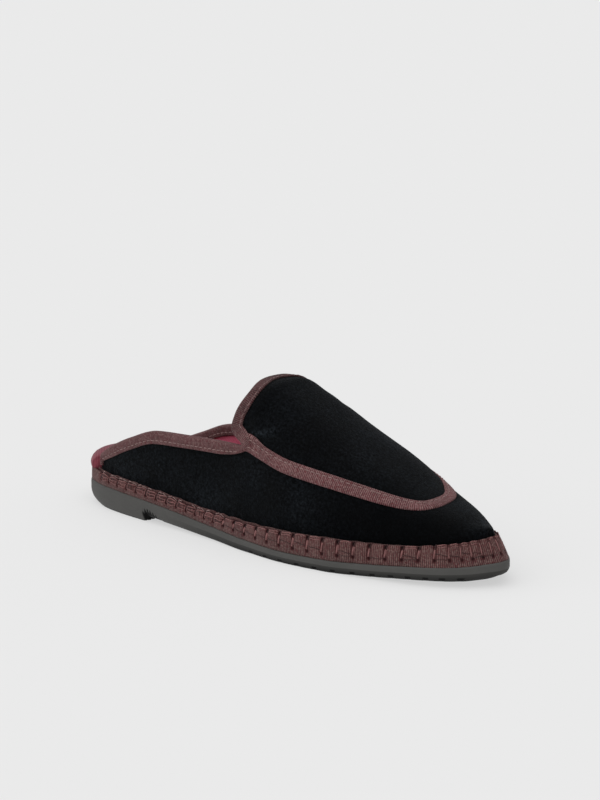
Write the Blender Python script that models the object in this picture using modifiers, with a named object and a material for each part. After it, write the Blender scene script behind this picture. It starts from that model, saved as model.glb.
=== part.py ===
"""Slipper loafer for the right foot: a backless velvet slip-on with ribbon-bound edges.

The shoe points along +X, +Z is up, and the little-toe side lies towards -Y. Every piece is worked out
from the sole's outline: a station is a turn from 0 at the heel's back to pi at the toe tip, so that
stations crowd together where the outline is round. Sizes are in millimetres until a mesh is made.
"""

import bmesh
import bpy
import numpy as np

MM = 0.001

# Driving sizes
LENGTH = 258.5  # outsole, heel back to toe tip
GAP = 0.3  # clearance between pieces that are sewn or glued together
WALL = 2.0  # velvet, interlining and lining of the upper
TAPE = 0.8  # grosgrain ribbon
TAPE_WIDTH = 5.2  # ribbon seen on the outside of a bound edge
TAPE_TURN_IN = 4.6  # ribbon turned in on the lining side
APRON_TAPE_WIDTH = 6.6  # ribbon laid over the apron seam
APRON_SKEW = 0.055  # the apron's tip lies this much of the girth to the outer side
APRON_SKEW_POWER = 6  # how closely that skew keeps to the tip
APRON_DROP = 0.085  # on the inner side the apron lies lower by up to this much of the girth
APRON_DROP_AT, APRON_DROP_OVER = 168.0, 22.0  # where along the seam it does, and how far about
BREAST = 59.0  # heel breast, from the heel's back
BREAST_SLOPE = 2.0  # how far the breast runs forward as it rises
LIP_WIDTH = 0.9  # top of the ribbon band's rolled edge
LIP_DEPTH = 3.0  # how deep the upper stands inside the rolled edge
BAND_SET = 0.4  # the ribbon band stands in from the outsole by this much
BAND_TOE = (208.0, 244.0)  # between these stations the band's upright side goes over into a leaning one
TOE_START = 200.0  # from here to the tip the layers are set back more and more
TOE_STRETCH = 1.9  # how much more, at the tip
REAR_END = 18.0  # back end of the side walls, from the heel's back
THROAT = 126.5  # where the side wall meets the tongue edge, from the heel's back
COLLAR_TAPE_END = 3.4  # the collar's ribbon stops this far behind the throat
TONGUE_TAPE_START = 53.6  # height at which the tongue's ribbon starts, above the apron ribbon's end
CROWN_FULLNESS = 0.85  # power of the sine in an upper section; under 1 is fuller
INSOLE_END = 243.0  # front of the insole, from the heel's back
INSOLE_OVERHANG = 0.2  # the heel pad reaches this near to the outsole's edge
HEEL_PAD_END = 3.0  # the overhanging heel pad stops this far behind the side walls
INSOLE_ROUND = 2.4  # rounding of the insole's top edge
INSOLE_CROWN = 9.0  # the insole's top is flat from this far inside its edge
INSOLE_DROP = 0.25  # and this much lower where the rounding starts
INSOLE_CHAMFER = 0.3  # rounding of its lower edge
TAPE_ROOM = (44.0, 60.0)  # between these stations the insole widens, ahead of the tape turned in
GROOVE_WIDTH = 2.2  # tread grooves across the outsole
GROOVE_DEPTH = 1.3
HEEL_GROOVES = (14.0, 25.0, 36.0, 47.0)  # tread grooves, from the heel's back
FOREFOOT_GROOVES = tuple(138.0 + 10.0 * n for n in range(11))

SIDES = {"outer": -1.0, "inner": 1.0}  # little-toe side and big-toe side of a right foot

# How finely the curved pieces are cut
SOLE_SECTIONS = 45
WALL_ROWS, WALL_COLUMNS = 6, 22  # a side wall of the upper: up it and along it
VAMP_ROWS, VAMP_COLUMNS = 9, 27  # from throat to ridge, and from the tongue edge to the toe
COLLAR_SECTIONS, TONGUE_SECTIONS, APRON_SECTIONS = 23, 27, 61
MERGE = 1e-3  # points nearer to one another than this are one
NUDGE = 1e-4  # change of a turn or girth over which a slope is measured


def table(columns, rows):
    """Columns by name, with the turn of each row's station in place of its distance from the heel."""
    named = dict(zip(columns, np.array(rows, float).T))
    if "from_heel" in named:
        named["turn"] = turn_at(named["from_heel"])
    return named


def turn_at(from_heel):
    """Turn of the station at a distance from the heel's back."""
    return np.arccos(np.clip(1.0 - 2.0 * np.asarray(from_heel, float) / LENGTH, -1.0, 1.0))


# One row a section, heel to toe: half widths on either side of the heel's centre line, the underside
# ahead of the heel, the bevel of the lower edge, the outsole's top, the ribbon band's top, and how far
# the band leans in.
SOLE = table(
    ("from_heel", "outer", "inner", "underside", "bevel", "outsole_top", "band_top", "band_lean"),
    (
        (0.0, 0.0, 0.0, 3.8, 5.0, 11.6, 19.2, 2.2),
        (4.0, 12.6, 12.0, 3.8, 4.8, 11.6, 19.1, 2.2),
        (13.0, 21.4, 20.8, 3.8, 3.6, 11.7, 18.9, 2.2),
        (29.0, 27.4, 27.5, 3.8, 2.2, 11.7, 18.5, 2.2),
        (53.0, 30.8, 30.2, 3.8, 2.0, 11.0, 17.8, 2.3),
        (79.0, 32.2, 29.2, 2.4, 2.0, 9.2, 15.8, 2.4),
        (106.0, 34.2, 30.4, 0.6, 2.0, 7.0, 14.0, 2.6),
        (132.0, 38.0, 35.2, 0.0, 2.0, 5.7, 14.2, 2.8),
        (158.0, 40.6, 40.0, 0.0, 2.0, 5.3, 15.2, 3.0),
        (182.0, 38.6, 41.0, 0.0, 2.2, 5.5, 16.0, 3.2),
        (203.0, 34.4, 37.6, 0.7, 2.6, 6.6, 16.4, 3.6),
        (224.0, 29.0, 30.2, 1.8, 3.0, 8.2, 17.4, 4.2),
        (239.0, 22.8, 21.8, 2.5, 3.4, 9.2, 18.8, 4.4),
        (249.0, 15.2, 14.2, 3.0, 4.0, 10.0, 20.0, 4.0),
        (255.0, 7.8, 7.4, 3.6, 4.6, 10.9, 21.2, 3.6),
        (LENGTH, 0.0, 0.0, 4.0, 5.0, 11.6, 22.0, 3.4),
    ),
)

# The foot form above the sole: height of the ridge, and the power of the cosine in a section.
FORM = table(
    ("from_heel", "crown", "roundness"),
    (
        (0.0, 75.6, 0.62),
        (106.0, 75.6, 0.62),
        (118.0, 75.8, 0.63),
        (127.0, 76.2, 0.64),
        (136.0, 72.2, 0.65),
        (147.0, 66.8, 0.67),
        (169.0, 56.2, 0.70),
        (193.0, 45.3, 0.72),
        (216.0, 35.0, 0.75),
        (238.0, 28.7, 0.78),
        (250.0, 25.4, 0.80),
        (LENGTH, 24.2, 0.80),
    ),
)

# Width of the collar's ribbon on the outside: it tapers to both ends.
COLLAR_TAPE = table(
    ("from_heel", "width"),
    (
        (REAR_END, 3.6),
        (25.0, 4.6),
        (34.0, TAPE_WIDTH),
        (106.0, TAPE_WIDTH),
        (117.0, 4.2),
        (123.0, 2.8),
        (THROAT, 1.6),
    ),
)

# Height of the top edge of each side wall, under its binding.
COLLAR = table(
    ("from_heel", "outer", "inner"),
    (
        (REAR_END, 25.4, 22.6),
        (26.0, 29.8, 25.2),
        (45.0, 38.4, 32.6),
        (63.0, 44.2, 39.2),
        (84.0, 45.6, 42.8),
        (106.0, 46.8, 45.6),
        (THROAT, 47.6, 47.6),
    ),
)

# The tongue edge, from the throat up to the ridge, as a share of that climb.
TONGUE = table(
    ("climb", "edge"),
    (
        (0.0, THROAT),
        (0.055, 122.6),
        (0.085, 119.2),
        (0.12, 116.2),
        (0.17, 115.0),
        (0.3, 115.6),
        (0.65, 119.0),
        (1.0, 117.4),
    ),
)

# Width of the tongue's ribbon on the outside, by the same climb.
TONGUE_TAPE = table(
    ("climb", "width"),
    ((0.0, TAPE_WIDTH), (0.1, 6.4), (0.22, 7.6), (0.35, 8.3), (0.72, 8.1), (0.87, 7.4), (1.0, 6.4)),
)

# The seam under the apron ribbon, by the way along it from the throat to the toe: its station, and its
# place as a share of the rise from sole to ridge.
APRON = table(
    ("way", "seam", "rise"),
    (
        (0.0, 127.4, 0.363),
        (8.0, 135.0, 0.368),
        (22.0, 148.5, 0.374),
        (42.0, 168.0, 0.420),
        (60.0, 184.8, 0.481),
        (77.0, 200.4, 0.563),
        (92.0, 213.2, 0.679),
        (103.0, 220.0, 0.783),
        (111.0, 222.7, 0.885),
        (119.0, 223.6, 1.000),
    ),
)

# The ribbon band's side from the outsole up: share of its lean and share of its height.
BAND_SIDE = table(
    ("lean", "height"),
    ((0.14, 0.0), (0.0, 0.16), (0.04, 0.5), (0.1, 0.74), (0.3, 0.93), (1.0, 1.0)),
)
# The outsole's side from its top down: share of its lower bevel and share of its height.
OUTSOLE_SIDE = table(("bevel", "height"), ((0.0, 1.0), (0.0, 0.6), (0.25, 0.3), (1.0, 0.0)))
# Thickness of the insole, which is thickest under the heel.
INSOLE = table(
    ("from_heel", "thickness"),
    ((0.0, 9.2), (12.0, 9.2), (28.0, 8.0), (50.0, 6.2), (90.0, 4.2), (LENGTH, 3.6)),
)


def smooth(stations, values, at):
    """Cubic through the rows of a table that never swings past them, read at the places given."""
    at = np.asarray(at, float)
    step = np.diff(stations)
    slope = np.diff(values) / step
    product = slope[:-1] * slope[1:]
    total = np.where(product > 0.0, slope[:-1] + slope[1:], 1.0)
    tangent = np.concatenate(
        ([slope[0]], np.where(product > 0.0, 2.0 * product / total, 0.0), [slope[-1]])
    )
    row = np.clip(np.searchsorted(stations, at, side="right") - 1, 0, len(step) - 1)
    u = (at - stations[row]) / step[row]
    start = (1.0 + 2.0 * u) * (1.0 - u) ** 2 * values[row] + u * (1.0 - u) ** 2 * step[row] * tangent[row]
    end = u**2 * (3.0 - 2.0 * u) * values[row + 1] + u**2 * (u - 1.0) * step[row] * tangent[row + 1]
    return start + end


def read(columns, name, turn):
    """A column of a table at a station's turn."""
    return smooth(columns["turn"], columns[name], turn)


def from_heel(turn):
    """Distance of a station from the heel's back."""
    return LENGTH / 2.0 * (1.0 - np.cos(turn))


def edge(side, turn, inset):
    """Plan point of the sole's edge on one side, moved in towards the middle of the shoe.

    Along the shoe an inset counts more and more towards the toe, and across it fades out at the tip,
    so that every layer keeps a nose as round as the sole's."""
    turn = np.asarray(turn, float)
    low, high = np.clip(turn - NUDGE, 0.0, np.pi), np.clip(turn + NUDGE, 0.0, np.pi)
    sign = SIDES[side]
    along = from_heel(high) - from_heel(low)
    across = sign * (read(SOLE, side, high) - read(SOLE, side, low))
    length = np.hypot(along, across)
    ahead, aside = -sign * across / length, sign * along / length
    at = np.stack([from_heel(turn), sign * read(SOLE, side, turn)], -1)
    near_toe = np.clip((from_heel(turn) - TOE_START) / (LENGTH - TOE_START), 0.0, 1.0)
    stretch = 1.0 + (TOE_STRETCH - 1.0) * near_toe**2
    move = np.stack([stretch * ahead, aside * np.abs(aside)], -1)
    return at - np.asarray(inset)[..., None] * move


def upper_inset(turn):
    """How far the upper's outside stands in from the outsole's edge, where it meets the band."""
    return BAND_SET + read(SOLE, "band_lean", turn) + LIP_WIDTH + GAP


def seat(turn):
    """Height of the midsole's top inside the rolled edge, where upper and insole stand."""
    return read(SOLE, "band_top", turn) - LIP_DEPTH


def form(turn, girth):
    """Point of the upper's outside: girth runs from -1 at the outer sole edge, over 0 at the ridge, to 1."""
    turn, girth = np.broadcast_arrays(np.asarray(turn, float), np.asarray(girth, float))
    feet = {side: edge(side, turn, upper_inset(turn)) for side in SIDES}
    middle = (feet["outer"] + feet["inner"]) / 2.0
    foot = np.where((girth < 0.0)[..., None], feet["outer"], feet["inner"])
    angle = np.pi / 2.0 * (1.0 - np.abs(girth))
    spread = np.cos(angle) ** read(FORM, "roundness", turn)
    lift = np.sign(angle) * np.abs(np.sin(angle)) ** CROWN_FULLNESS
    plan = middle + (foot - middle) * spread[..., None]
    low = seat(turn) + GAP
    height = low + (read(FORM, "crown", turn) - low) * lift
    return np.concatenate([plan, height[..., None]], -1)


def slopes(turn, girth):
    """How the form moves with the turn and with the girth."""
    with_turn = (form(turn + NUDGE, girth) - form(turn - NUDGE, girth)) / (2.0 * NUDGE)
    with_girth = (form(turn, girth + NUDGE) - form(turn, girth - NUDGE)) / (2.0 * NUDGE)
    return with_turn, with_girth


def unit(vectors):
    return vectors / np.linalg.norm(vectors, axis=-1, keepdims=True)


def outward_normal(turn, girth):
    with_turn, with_girth = slopes(turn, girth)
    return unit(np.cross(with_turn, with_girth))


def rise_at(turn, height):
    """Share of the way from sole to ridge at which a section reaches a height."""
    low = seat(turn) + GAP
    share = np.clip((height - low) / (read(FORM, "crown", turn) - low), 0.0, 1.0)
    return np.arcsin(share ** (1.0 / CROWN_FULLNESS)) * 2.0 / np.pi


def collar_girth(side, turn):
    """Girth of a side wall's top edge."""
    return SIDES[side] * (1.0 - rise_at(turn, read(COLLAR, side, turn)))


def tongue_climb(girth):
    """Share of the climb from the throat to the ridge, at a girth between the two throats."""
    foot = np.where(girth < 0.0, -throat_girth("outer"), throat_girth("inner"))
    return np.clip(1.0 - np.abs(girth) / foot, 0.0, 1.0)


def tongue_turn(girth):
    """Turn of the tongue edge at a girth between the two throats."""
    return turn_at(smooth(TONGUE["climb"], TONGUE["edge"], tongue_climb(girth)))


def throat_girth(side):
    return collar_girth(side, turn_at(THROAT))


def stations():
    """Turns of the sole's sections, with one on each side of the heel breast."""
    even = np.linspace(0.0, np.pi, SOLE_SECTIONS)
    breast = turn_at([BREAST - BREAST_SLOPE / 2.0, BREAST + BREAST_SLOPE / 2.0])
    apart = np.min(np.abs(even[:, None] - breast), axis=1) > np.pi / SOLE_SECTIONS / 2.0
    return np.sort(np.concatenate([even[apart], breast]))


def origin():
    """The point on the floor under the middle of the shoe's box."""
    reach = {side: edge(side, stations(), 0.0)[:, 1] for side in SIDES}
    return np.array([LENGTH / 2.0, (reach["outer"].min() + reach["inner"].max()) / 2.0, 0.0])


# Mesh making
def add_object(name, collection, points, faces, material):
    """A named object from points in millimetres, with coinciding points merged."""
    mesh = bpy.data.meshes.new(name)
    shape = bmesh.new()
    corners = [shape.verts.new(p) for p in (np.asarray(points) - origin()) * MM]
    for face in faces:
        shape.faces.new([corners[i] for i in face])
    bmesh.ops.remove_doubles(shape, verts=shape.verts, dist=MERGE * MM)
    bmesh.ops.dissolve_degenerate(shape, edges=shape.edges, dist=MERGE * MM)
    shape.to_mesh(mesh)
    shape.free()
    mesh.shade_smooth()
    obj = bpy.data.objects.new(name, mesh)
    collection.objects.link(obj)
    mesh.materials.append(material)
    return obj


def loft(name, collection, rings, material):
    """A closed solid through rings of points. An end ring that folds flat closes itself."""
    count, around = rings.shape[:2]
    index = np.arange(count * around).reshape(count, around)
    faces = [
        (index[i, j], index[i + 1, j], index[i + 1, (j + 1) % around], index[i, (j + 1) % around])
        for i in range(count - 1)
        for j in range(around)
    ]
    for ring, order in ((0, 1), (count - 1, -1)):
        if np.ptp(rings[ring], axis=0).min() > MERGE:
            faces.append(tuple(index[ring][::order]))
    obj = add_object(name, collection, rings.reshape(-1, 3), faces, material)
    face_outwards(obj)
    return obj


def face_outwards(obj):
    shape = bmesh.new()
    shape.from_mesh(obj.data)
    bmesh.ops.recalc_face_normals(shape, faces=shape.faces)
    shape.to_mesh(obj.data)
    shape.free()


def side_ring(turn, profile):
    """A ring across the sole: the profile down the inner side, mirrored up the outer side.

    The profile is a list of (inset, height) pairs, each an array with a value a station."""
    points = []
    for side, rows in (("inner", profile), ("outer", profile[::-1])):
        for inset, height in rows:
            points.append(np.concatenate([edge(side, turn, inset), height[:, None]], -1))
    return np.stack(points, axis=1)


def finish(name, colour, roughness):
    """A plain material in the piece's colour."""
    material = bpy.data.materials.new(name)
    material.use_nodes = True
    shader = material.node_tree.nodes["Principled BSDF"]
    shader.inputs["Base Color"].default_value = (*colour, 1.0)
    shader.inputs["Roughness"].default_value = roughness
    shader.inputs["Metallic"].default_value = 0.0
    return material


# Pieces
def underside(turn):
    """Height of the outsole's underside: flat under the heel and the ball, hollow at the waist."""
    return np.where(from_heel(turn) < BREAST, 0.0, read(SOLE, "underside", turn))


def make_outsole(collection, cutters):
    """One moulded rubber unit, with its low heel, waist, toe spring and tread grooves."""
    turn = stations()
    low, high = underside(turn), read(SOLE, "outsole_top", turn)
    bevel = read(SOLE, "bevel", turn)
    profile = [
        (share * bevel, low + height * (high - low))
        for share, height in zip(OUTSOLE_SIDE["bevel"], OUTSOLE_SIDE["height"])
    ]
    rubber = finish("rubber", (0.065, 0.068, 0.062), 0.6)
    outsole = loft("outsole", collection, side_ring(turn, profile), rubber)
    cut = outsole.modifiers.new("tread_grooves", "BOOLEAN")
    cut.object = make_groove_cutter(cutters)
    cut.operation = "DIFFERENCE"
    return outsole


def make_groove_cutter(cutters):
    """A row of bars across the sole, each let into the underside by the groove's depth."""
    shape = bmesh.new()
    for place in HEEL_GROOVES + FOREFOOT_GROOVES:
        top = float(underside(turn_at(place))) + GROOVE_DEPTH
        bar = bmesh.ops.create_cube(shape, size=1.0)["verts"]
        size = (GROOVE_WIDTH * MM, LENGTH * MM, 2.0 * top * MM)
        bmesh.ops.scale(shape, vec=size, verts=bar)
        bmesh.ops.translate(shape, vec=((place - origin()[0]) * MM, 0.0, 0.0), verts=bar)
    mesh = bpy.data.meshes.new("tread_cutter")
    shape.to_mesh(mesh)
    shape.free()
    cutter = bpy.data.objects.new("tread_cutter", mesh)
    cutters.objects.link(cutter)
    cutter.hide_render = True
    cutter.display_type = "WIRE"
    return cutter


def make_midsole(collection):
    """Ribbon-bound midsole: a slab with a rolled edge, which leans in to meet the velvet."""
    turn = stations()
    low, high = read(SOLE, "outsole_top", turn) + GAP, read(SOLE, "band_top", turn)
    lean = read(SOLE, "band_lean", turn)
    inner_face = BAND_SET + lean + LIP_WIDTH
    profile = [(inner_face, seat(turn)), (inner_face, high - GAP)]
    straight = np.interp(from_heel(turn), BAND_TOE, (0.0, 1.0))
    profile += [
        (BAND_SET + (share + straight * (height - share)) * lean, low + height * (high - low))
        for share, height in zip(BAND_SIDE["lean"][::-1], BAND_SIDE["height"][::-1])
    ]
    ribbon = finish("band_ribbon", (0.105, 0.045, 0.043), 0.8)
    return loft("midsole", collection, side_ring(turn, profile), ribbon)


def make_insole(collection):
    """Padded insole between the walls. Its heel swells over the band's rolled edge behind them."""
    pad_end = REAR_END - HEEL_PAD_END
    distance = from_heel(stations())
    distance = distance[(distance < pad_end) | ((distance > REAR_END) & (distance < INSOLE_END))]
    distance = np.sort(np.append(distance, (pad_end, REAR_END - 2.0 * GAP, INSOLE_END)))
    turn = turn_at(distance)
    room = np.interp(distance, TAPE_ROOM, (TAPE + 3.0 * GAP, GAP))
    inside = upper_inset(turn) + WALL + room
    behind = distance <= pad_end
    outside = np.where(behind, INSOLE_OVERHANG, inside)
    low = seat(turn) + GAP
    ledge = np.where(behind, read(SOLE, "band_top", turn) + GAP, low + GAP)
    top = low + read(INSOLE, "thickness", turn)
    profile = [
        (outside + INSOLE_CROWN, top),
        (outside + INSOLE_ROUND, top - INSOLE_DROP),
        (outside, top - INSOLE_ROUND),
        (outside, ledge + 2.0 * INSOLE_CHAMFER),
        (np.where(behind, inside, outside + INSOLE_CHAMFER), ledge),
        (inside + INSOLE_CHAMFER, low),
    ]
    cloth = finish("lining_cloth", (0.17, 0.02, 0.035), 0.85)
    return loft("insole", collection, side_ring(turn, profile), cloth)


def make_upper(collection):
    """The velvet upper: one wall over the forefoot, running back as a low wall on each side of the heel."""
    points, faces = [], []

    def add_patch(turn, girth):
        start = sum(len(p) for p in points)
        points.append(form(turn, girth).reshape(-1, 3))
        rows, columns = turn.shape
        index = start + np.arange(rows * columns).reshape(rows, columns)
        for i in range(rows - 1):
            for j in range(columns - 1):
                faces.append((index[i, j], index[i, j + 1], index[i + 1, j + 1], index[i + 1, j]))

    share = np.linspace(0.0, 1.0, WALL_ROWS + 1)
    rear = np.linspace(turn_at(REAR_END), turn_at(THROAT), WALL_COLUMNS + 1)
    walls = {}
    for side, sign in SIDES.items():
        top = collar_girth(side, rear)
        girth = sign + share[:, None] * (top - sign)
        girth = girth if sign < 0.0 else girth[::-1]
        add_patch(np.broadcast_to(rear, girth.shape), girth)
        walls[side] = sign + share * (throat_girth(side) - sign)
    climb = np.linspace(0.0, 1.0, VAMP_ROWS + 1)[1:]
    outer_climb = throat_girth("outer") * (1.0 - climb)
    inner_climb = throat_girth("inner") * (1.0 - climb)[:-1]
    girths = np.concatenate([walls["outer"], outer_climb, inner_climb[::-1], walls["inner"][::-1]])
    start = tongue_turn(girths)
    way = np.linspace(0.0, 1.0, VAMP_COLUMNS + 1)
    turn = start[:, None] + way * (np.pi - start)[:, None]
    add_patch(turn, np.broadcast_to(girths[:, None], turn.shape))
    velvet = finish("velvet", (0.004, 0.004, 0.005), 0.9)
    upper = add_object("upper", collection, np.concatenate(points), faces, velvet)
    wall = upper.modifiers.new("wall", "SOLIDIFY")
    wall.thickness = WALL * MM
    wall.offset = -1.0
    return upper


def tape_section(outside_width, inside_width):
    """A ribbon folded over an edge: (distance in from the edge, distance out from the velvet) pairs."""
    out, back = GAP, -(WALL + GAP)
    fold = GAP + TAPE
    return [
        (outside_width, out),
        (outside_width, out + TAPE),
        (0.5 * outside_width, out + TAPE),
        (0.0, out + TAPE),
        (-0.75 * fold, 0.2 * TAPE),
        (-fold, -0.5 * WALL),
        (-0.75 * fold, -WALL - 0.2 * TAPE),
        (0.0, back - TAPE),
        (0.5 * inside_width, back - TAPE),
        (inside_width, back - TAPE),
        (inside_width, back),
        (0.5 * inside_width, back),
        (-GAP, back),
        (-GAP, out),
        (0.5 * outside_width, out),
    ]


def make_collar_binding(side, collection, material):
    """Ribbon folded over the top edge of one side wall, from the heel to the throat."""
    turn = np.linspace(turn_at(REAR_END), turn_at(THROAT - COLLAR_TAPE_END), COLLAR_SECTIONS)
    girth = collar_girth(side, turn)
    clear = read(COLLAR, side, turn) - read(SOLE, "band_top", turn) - 2.0 * GAP
    outside = np.minimum(read(COLLAR_TAPE, "width", turn), clear)
    section = tape_section(outside, np.minimum(TAPE_TURN_IN, clear))
    sign = SIDES[side]
    _, with_girth = slopes(turn, girth)
    per_girth = np.linalg.norm(with_girth, axis=-1)
    normal = outward_normal(turn, girth)
    rings = []
    for inwards, out in section:
        at = girth + sign * inwards / per_girth
        low = np.minimum(np.abs(at), 1.0)
        rings.append(form(turn, sign * low) + normal * np.asarray(out)[..., None])
    return loft(f"collar_binding_{side}", collection, np.stack(rings, axis=1), material)


def make_tongue_binding(collection, material):
    """Ribbon folded over the tongue edge, from one throat over the ridge to the other."""
    start = 1.0 - rise_at(turn_at(THROAT), TONGUE_TAPE_START)
    girth = np.linspace(-start, start, TONGUE_SECTIONS)
    turn = tongue_turn(girth)
    with_turn, _ = slopes(turn, girth)
    per_turn = np.linalg.norm(with_turn, axis=-1)
    normal = outward_normal(turn, girth)
    outside = smooth(TONGUE_TAPE["climb"], TONGUE_TAPE["width"], tongue_climb(girth))
    rings = [
        form(turn + inwards / per_turn, girth) + normal * out
        for inwards, out in tape_section(outside, TAPE_TURN_IN)
    ]
    return loft("tongue_binding", collection, np.stack(rings, axis=1), material)


def apron_path(count):
    """Turn and girth along the apron seam, from the outer throat round the toe to the inner throat."""
    way, seam, rise = (APRON[name] for name in ("way", "seam", "rise"))
    both_ways = np.concatenate([way, 2.0 * way[-1] - way[-2::-1]])
    at = np.linspace(0.0, both_ways[-1], count)
    turn = turn_at(smooth(both_ways, np.concatenate([seam, seam[-2::-1]]), at))
    girth = smooth(both_ways, np.concatenate([rise - 1.0, 1.0 - rise[-2::-1]]), at)
    skew = APRON_SKEW * np.sin(np.pi * at / both_ways[-1]) ** APRON_SKEW_POWER
    drop = APRON_DROP * np.exp(-(((at - APRON_DROP_AT) / APRON_DROP_OVER) ** 2))
    return turn, girth - skew + drop


def make_apron_ribbon(collection, material):
    """Flat ribbon laid over the U-shaped seam between the apron and the rest of the vamp."""
    turn, girth = apron_path(APRON_SECTIONS)
    with_turn, with_girth = slopes(turn, girth)
    normal = unit(np.cross(with_turn, with_girth))
    path = form(turn, girth)
    ahead = unit(np.gradient(path, axis=0))
    across = np.cross(normal, ahead)
    sides = np.stack([with_turn, with_girth], -1)
    step = np.einsum("nij,nj->ni", np.linalg.pinv(sides), across)
    half = APRON_TAPE_WIDTH / 2.0
    rings = []
    for sideways, out in (
        (-half, GAP),
        (0.0, GAP),
        (half, GAP),
        (half, GAP + TAPE),
        (0.0, GAP + TAPE),
        (-half, GAP + TAPE),
    ):
        at = form(turn + sideways * step[:, 0], girth + sideways * step[:, 1])
        rings.append(at + normal * out)
    return loft("apron_ribbon", collection, np.stack(rings, axis=1), material)


def main():
    for obj in list(bpy.data.objects):
        bpy.data.objects.remove(obj)
    shoe = bpy.data.collections.new("slipper_loafer")
    cutters = bpy.data.collections.new("cutters")
    for collection in (shoe, cutters):
        bpy.context.scene.collection.children.link(collection)
    make_outsole(shoe, cutters)
    make_midsole(shoe)
    make_insole(shoe)
    make_upper(shoe)
    ribbon = finish("binding_ribbon", (0.1, 0.05, 0.048), 0.75)
    for side in SIDES:
        make_collar_binding(side, shoe, ribbon)
    make_tongue_binding(shoe, ribbon)
    make_apron_ribbon(shoe, ribbon)


main()
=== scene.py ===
# %% [markdown]
# # A velvet slipper loafer
#
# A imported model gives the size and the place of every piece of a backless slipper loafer. This lesson dresses
# it: velvet with a nap, ribbed ribbon round the edges, a whip-stitched band and a moulded rubber sole. Before
# each step a few sentences say what the piece is on the real shoe, how it could be made, and why it is made
# this way here.

import bmesh
import bpy
import numpy as np
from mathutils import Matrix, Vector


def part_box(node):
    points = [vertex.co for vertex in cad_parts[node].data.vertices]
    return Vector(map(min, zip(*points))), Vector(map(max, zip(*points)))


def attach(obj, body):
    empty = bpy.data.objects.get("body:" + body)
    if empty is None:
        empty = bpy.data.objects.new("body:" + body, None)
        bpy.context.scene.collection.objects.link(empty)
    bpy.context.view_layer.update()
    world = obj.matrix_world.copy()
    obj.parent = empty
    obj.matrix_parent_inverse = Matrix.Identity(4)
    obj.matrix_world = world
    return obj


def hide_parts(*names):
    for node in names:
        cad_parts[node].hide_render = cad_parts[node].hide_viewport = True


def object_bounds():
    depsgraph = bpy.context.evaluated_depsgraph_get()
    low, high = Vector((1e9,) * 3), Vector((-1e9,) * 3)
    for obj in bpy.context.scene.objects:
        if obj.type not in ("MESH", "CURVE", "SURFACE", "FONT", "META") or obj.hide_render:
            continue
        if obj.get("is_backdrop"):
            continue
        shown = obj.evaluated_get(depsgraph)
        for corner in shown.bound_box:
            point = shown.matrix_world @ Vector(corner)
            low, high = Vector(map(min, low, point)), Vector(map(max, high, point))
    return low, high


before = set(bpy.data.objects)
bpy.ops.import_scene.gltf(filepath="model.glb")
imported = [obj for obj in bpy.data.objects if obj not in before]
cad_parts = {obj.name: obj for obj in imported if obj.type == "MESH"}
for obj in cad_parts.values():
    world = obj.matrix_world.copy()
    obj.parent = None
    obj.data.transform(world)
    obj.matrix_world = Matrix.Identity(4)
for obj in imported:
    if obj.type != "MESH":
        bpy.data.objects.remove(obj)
cad_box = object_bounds()
print("pieces in the model:", ", ".join(sorted(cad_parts)))

# %% [markdown]
# ## The shape of the shoe
#
# A shoe is drawn in millimetres from the back of its heel, so the script does the same and turns points into
# metres at the very end. A station along the shoe is named by a turn: 0 at the heel's back, pi at the toe's
# tip, and the cosine of the turn gives the distance. Stations then crowd together where the outline is
# round. Short tables hold one row for each section a maker would measure. For the sole's lower edge and the
# tongue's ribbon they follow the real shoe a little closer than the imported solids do.

# %% The sole's table, in millimetres
MM = 0.001
LENGTH = round((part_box("outsole")[1].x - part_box("outsole")[0].x) / MM, 2)


def columns(names, *rows):
    """A table as named columns."""
    return dict(zip(names.split(), np.array(rows, float).T))


SOLE = columns(
    "from_heel outer inner underside bevel outsole_top band_top band_lean",
    (0, 0, 0, 3.8, 5.0, 11.6, 19.2, 2.2),
    (4, 12.6, 12.0, 3.8, 4.8, 11.6, 19.1, 2.2),
    (13, 21.4, 20.8, 3.8, 3.6, 11.7, 18.9, 2.2),
    (29, 27.4, 27.5, 3.8, 2.2, 11.7, 18.5, 2.2),
    (53, 30.8, 30.2, 3.0, 2.0, 11.0, 17.8, 2.3),
    (79, 32.2, 29.2, 1.7, 1.8, 9.2, 15.8, 2.4),
    (106, 34.2, 30.4, 0.5, 1.5, 7.0, 14.0, 2.6),
    (132, 38.0, 35.2, 0.0, 1.0, 5.7, 14.2, 2.8),
    (158, 40.6, 40.0, 0.0, 1.0, 5.3, 15.2, 3.0),
    (182, 38.6, 41.0, 0.0, 0.9, 5.5, 16.0, 3.2),
    (203, 34.4, 37.6, 0.7, 1.5, 6.6, 16.4, 3.6),
    (224, 29.0, 30.2, 1.8, 2.4, 8.2, 17.4, 4.2),
    (239, 22.8, 21.8, 2.3, 2.6, 9.2, 18.8, 4.4),
    (249, 15.2, 14.2, 2.5, 2.6, 10.0, 20.0, 4.0),
    (255, 7.8, 7.4, 2.8, 2.9, 10.9, 21.2, 3.6),
    (LENGTH, 0, 0, 3.1, 3.4, 11.6, 22.0, 3.4),
)
print("the shoe is", LENGTH, "mm long")


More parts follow.
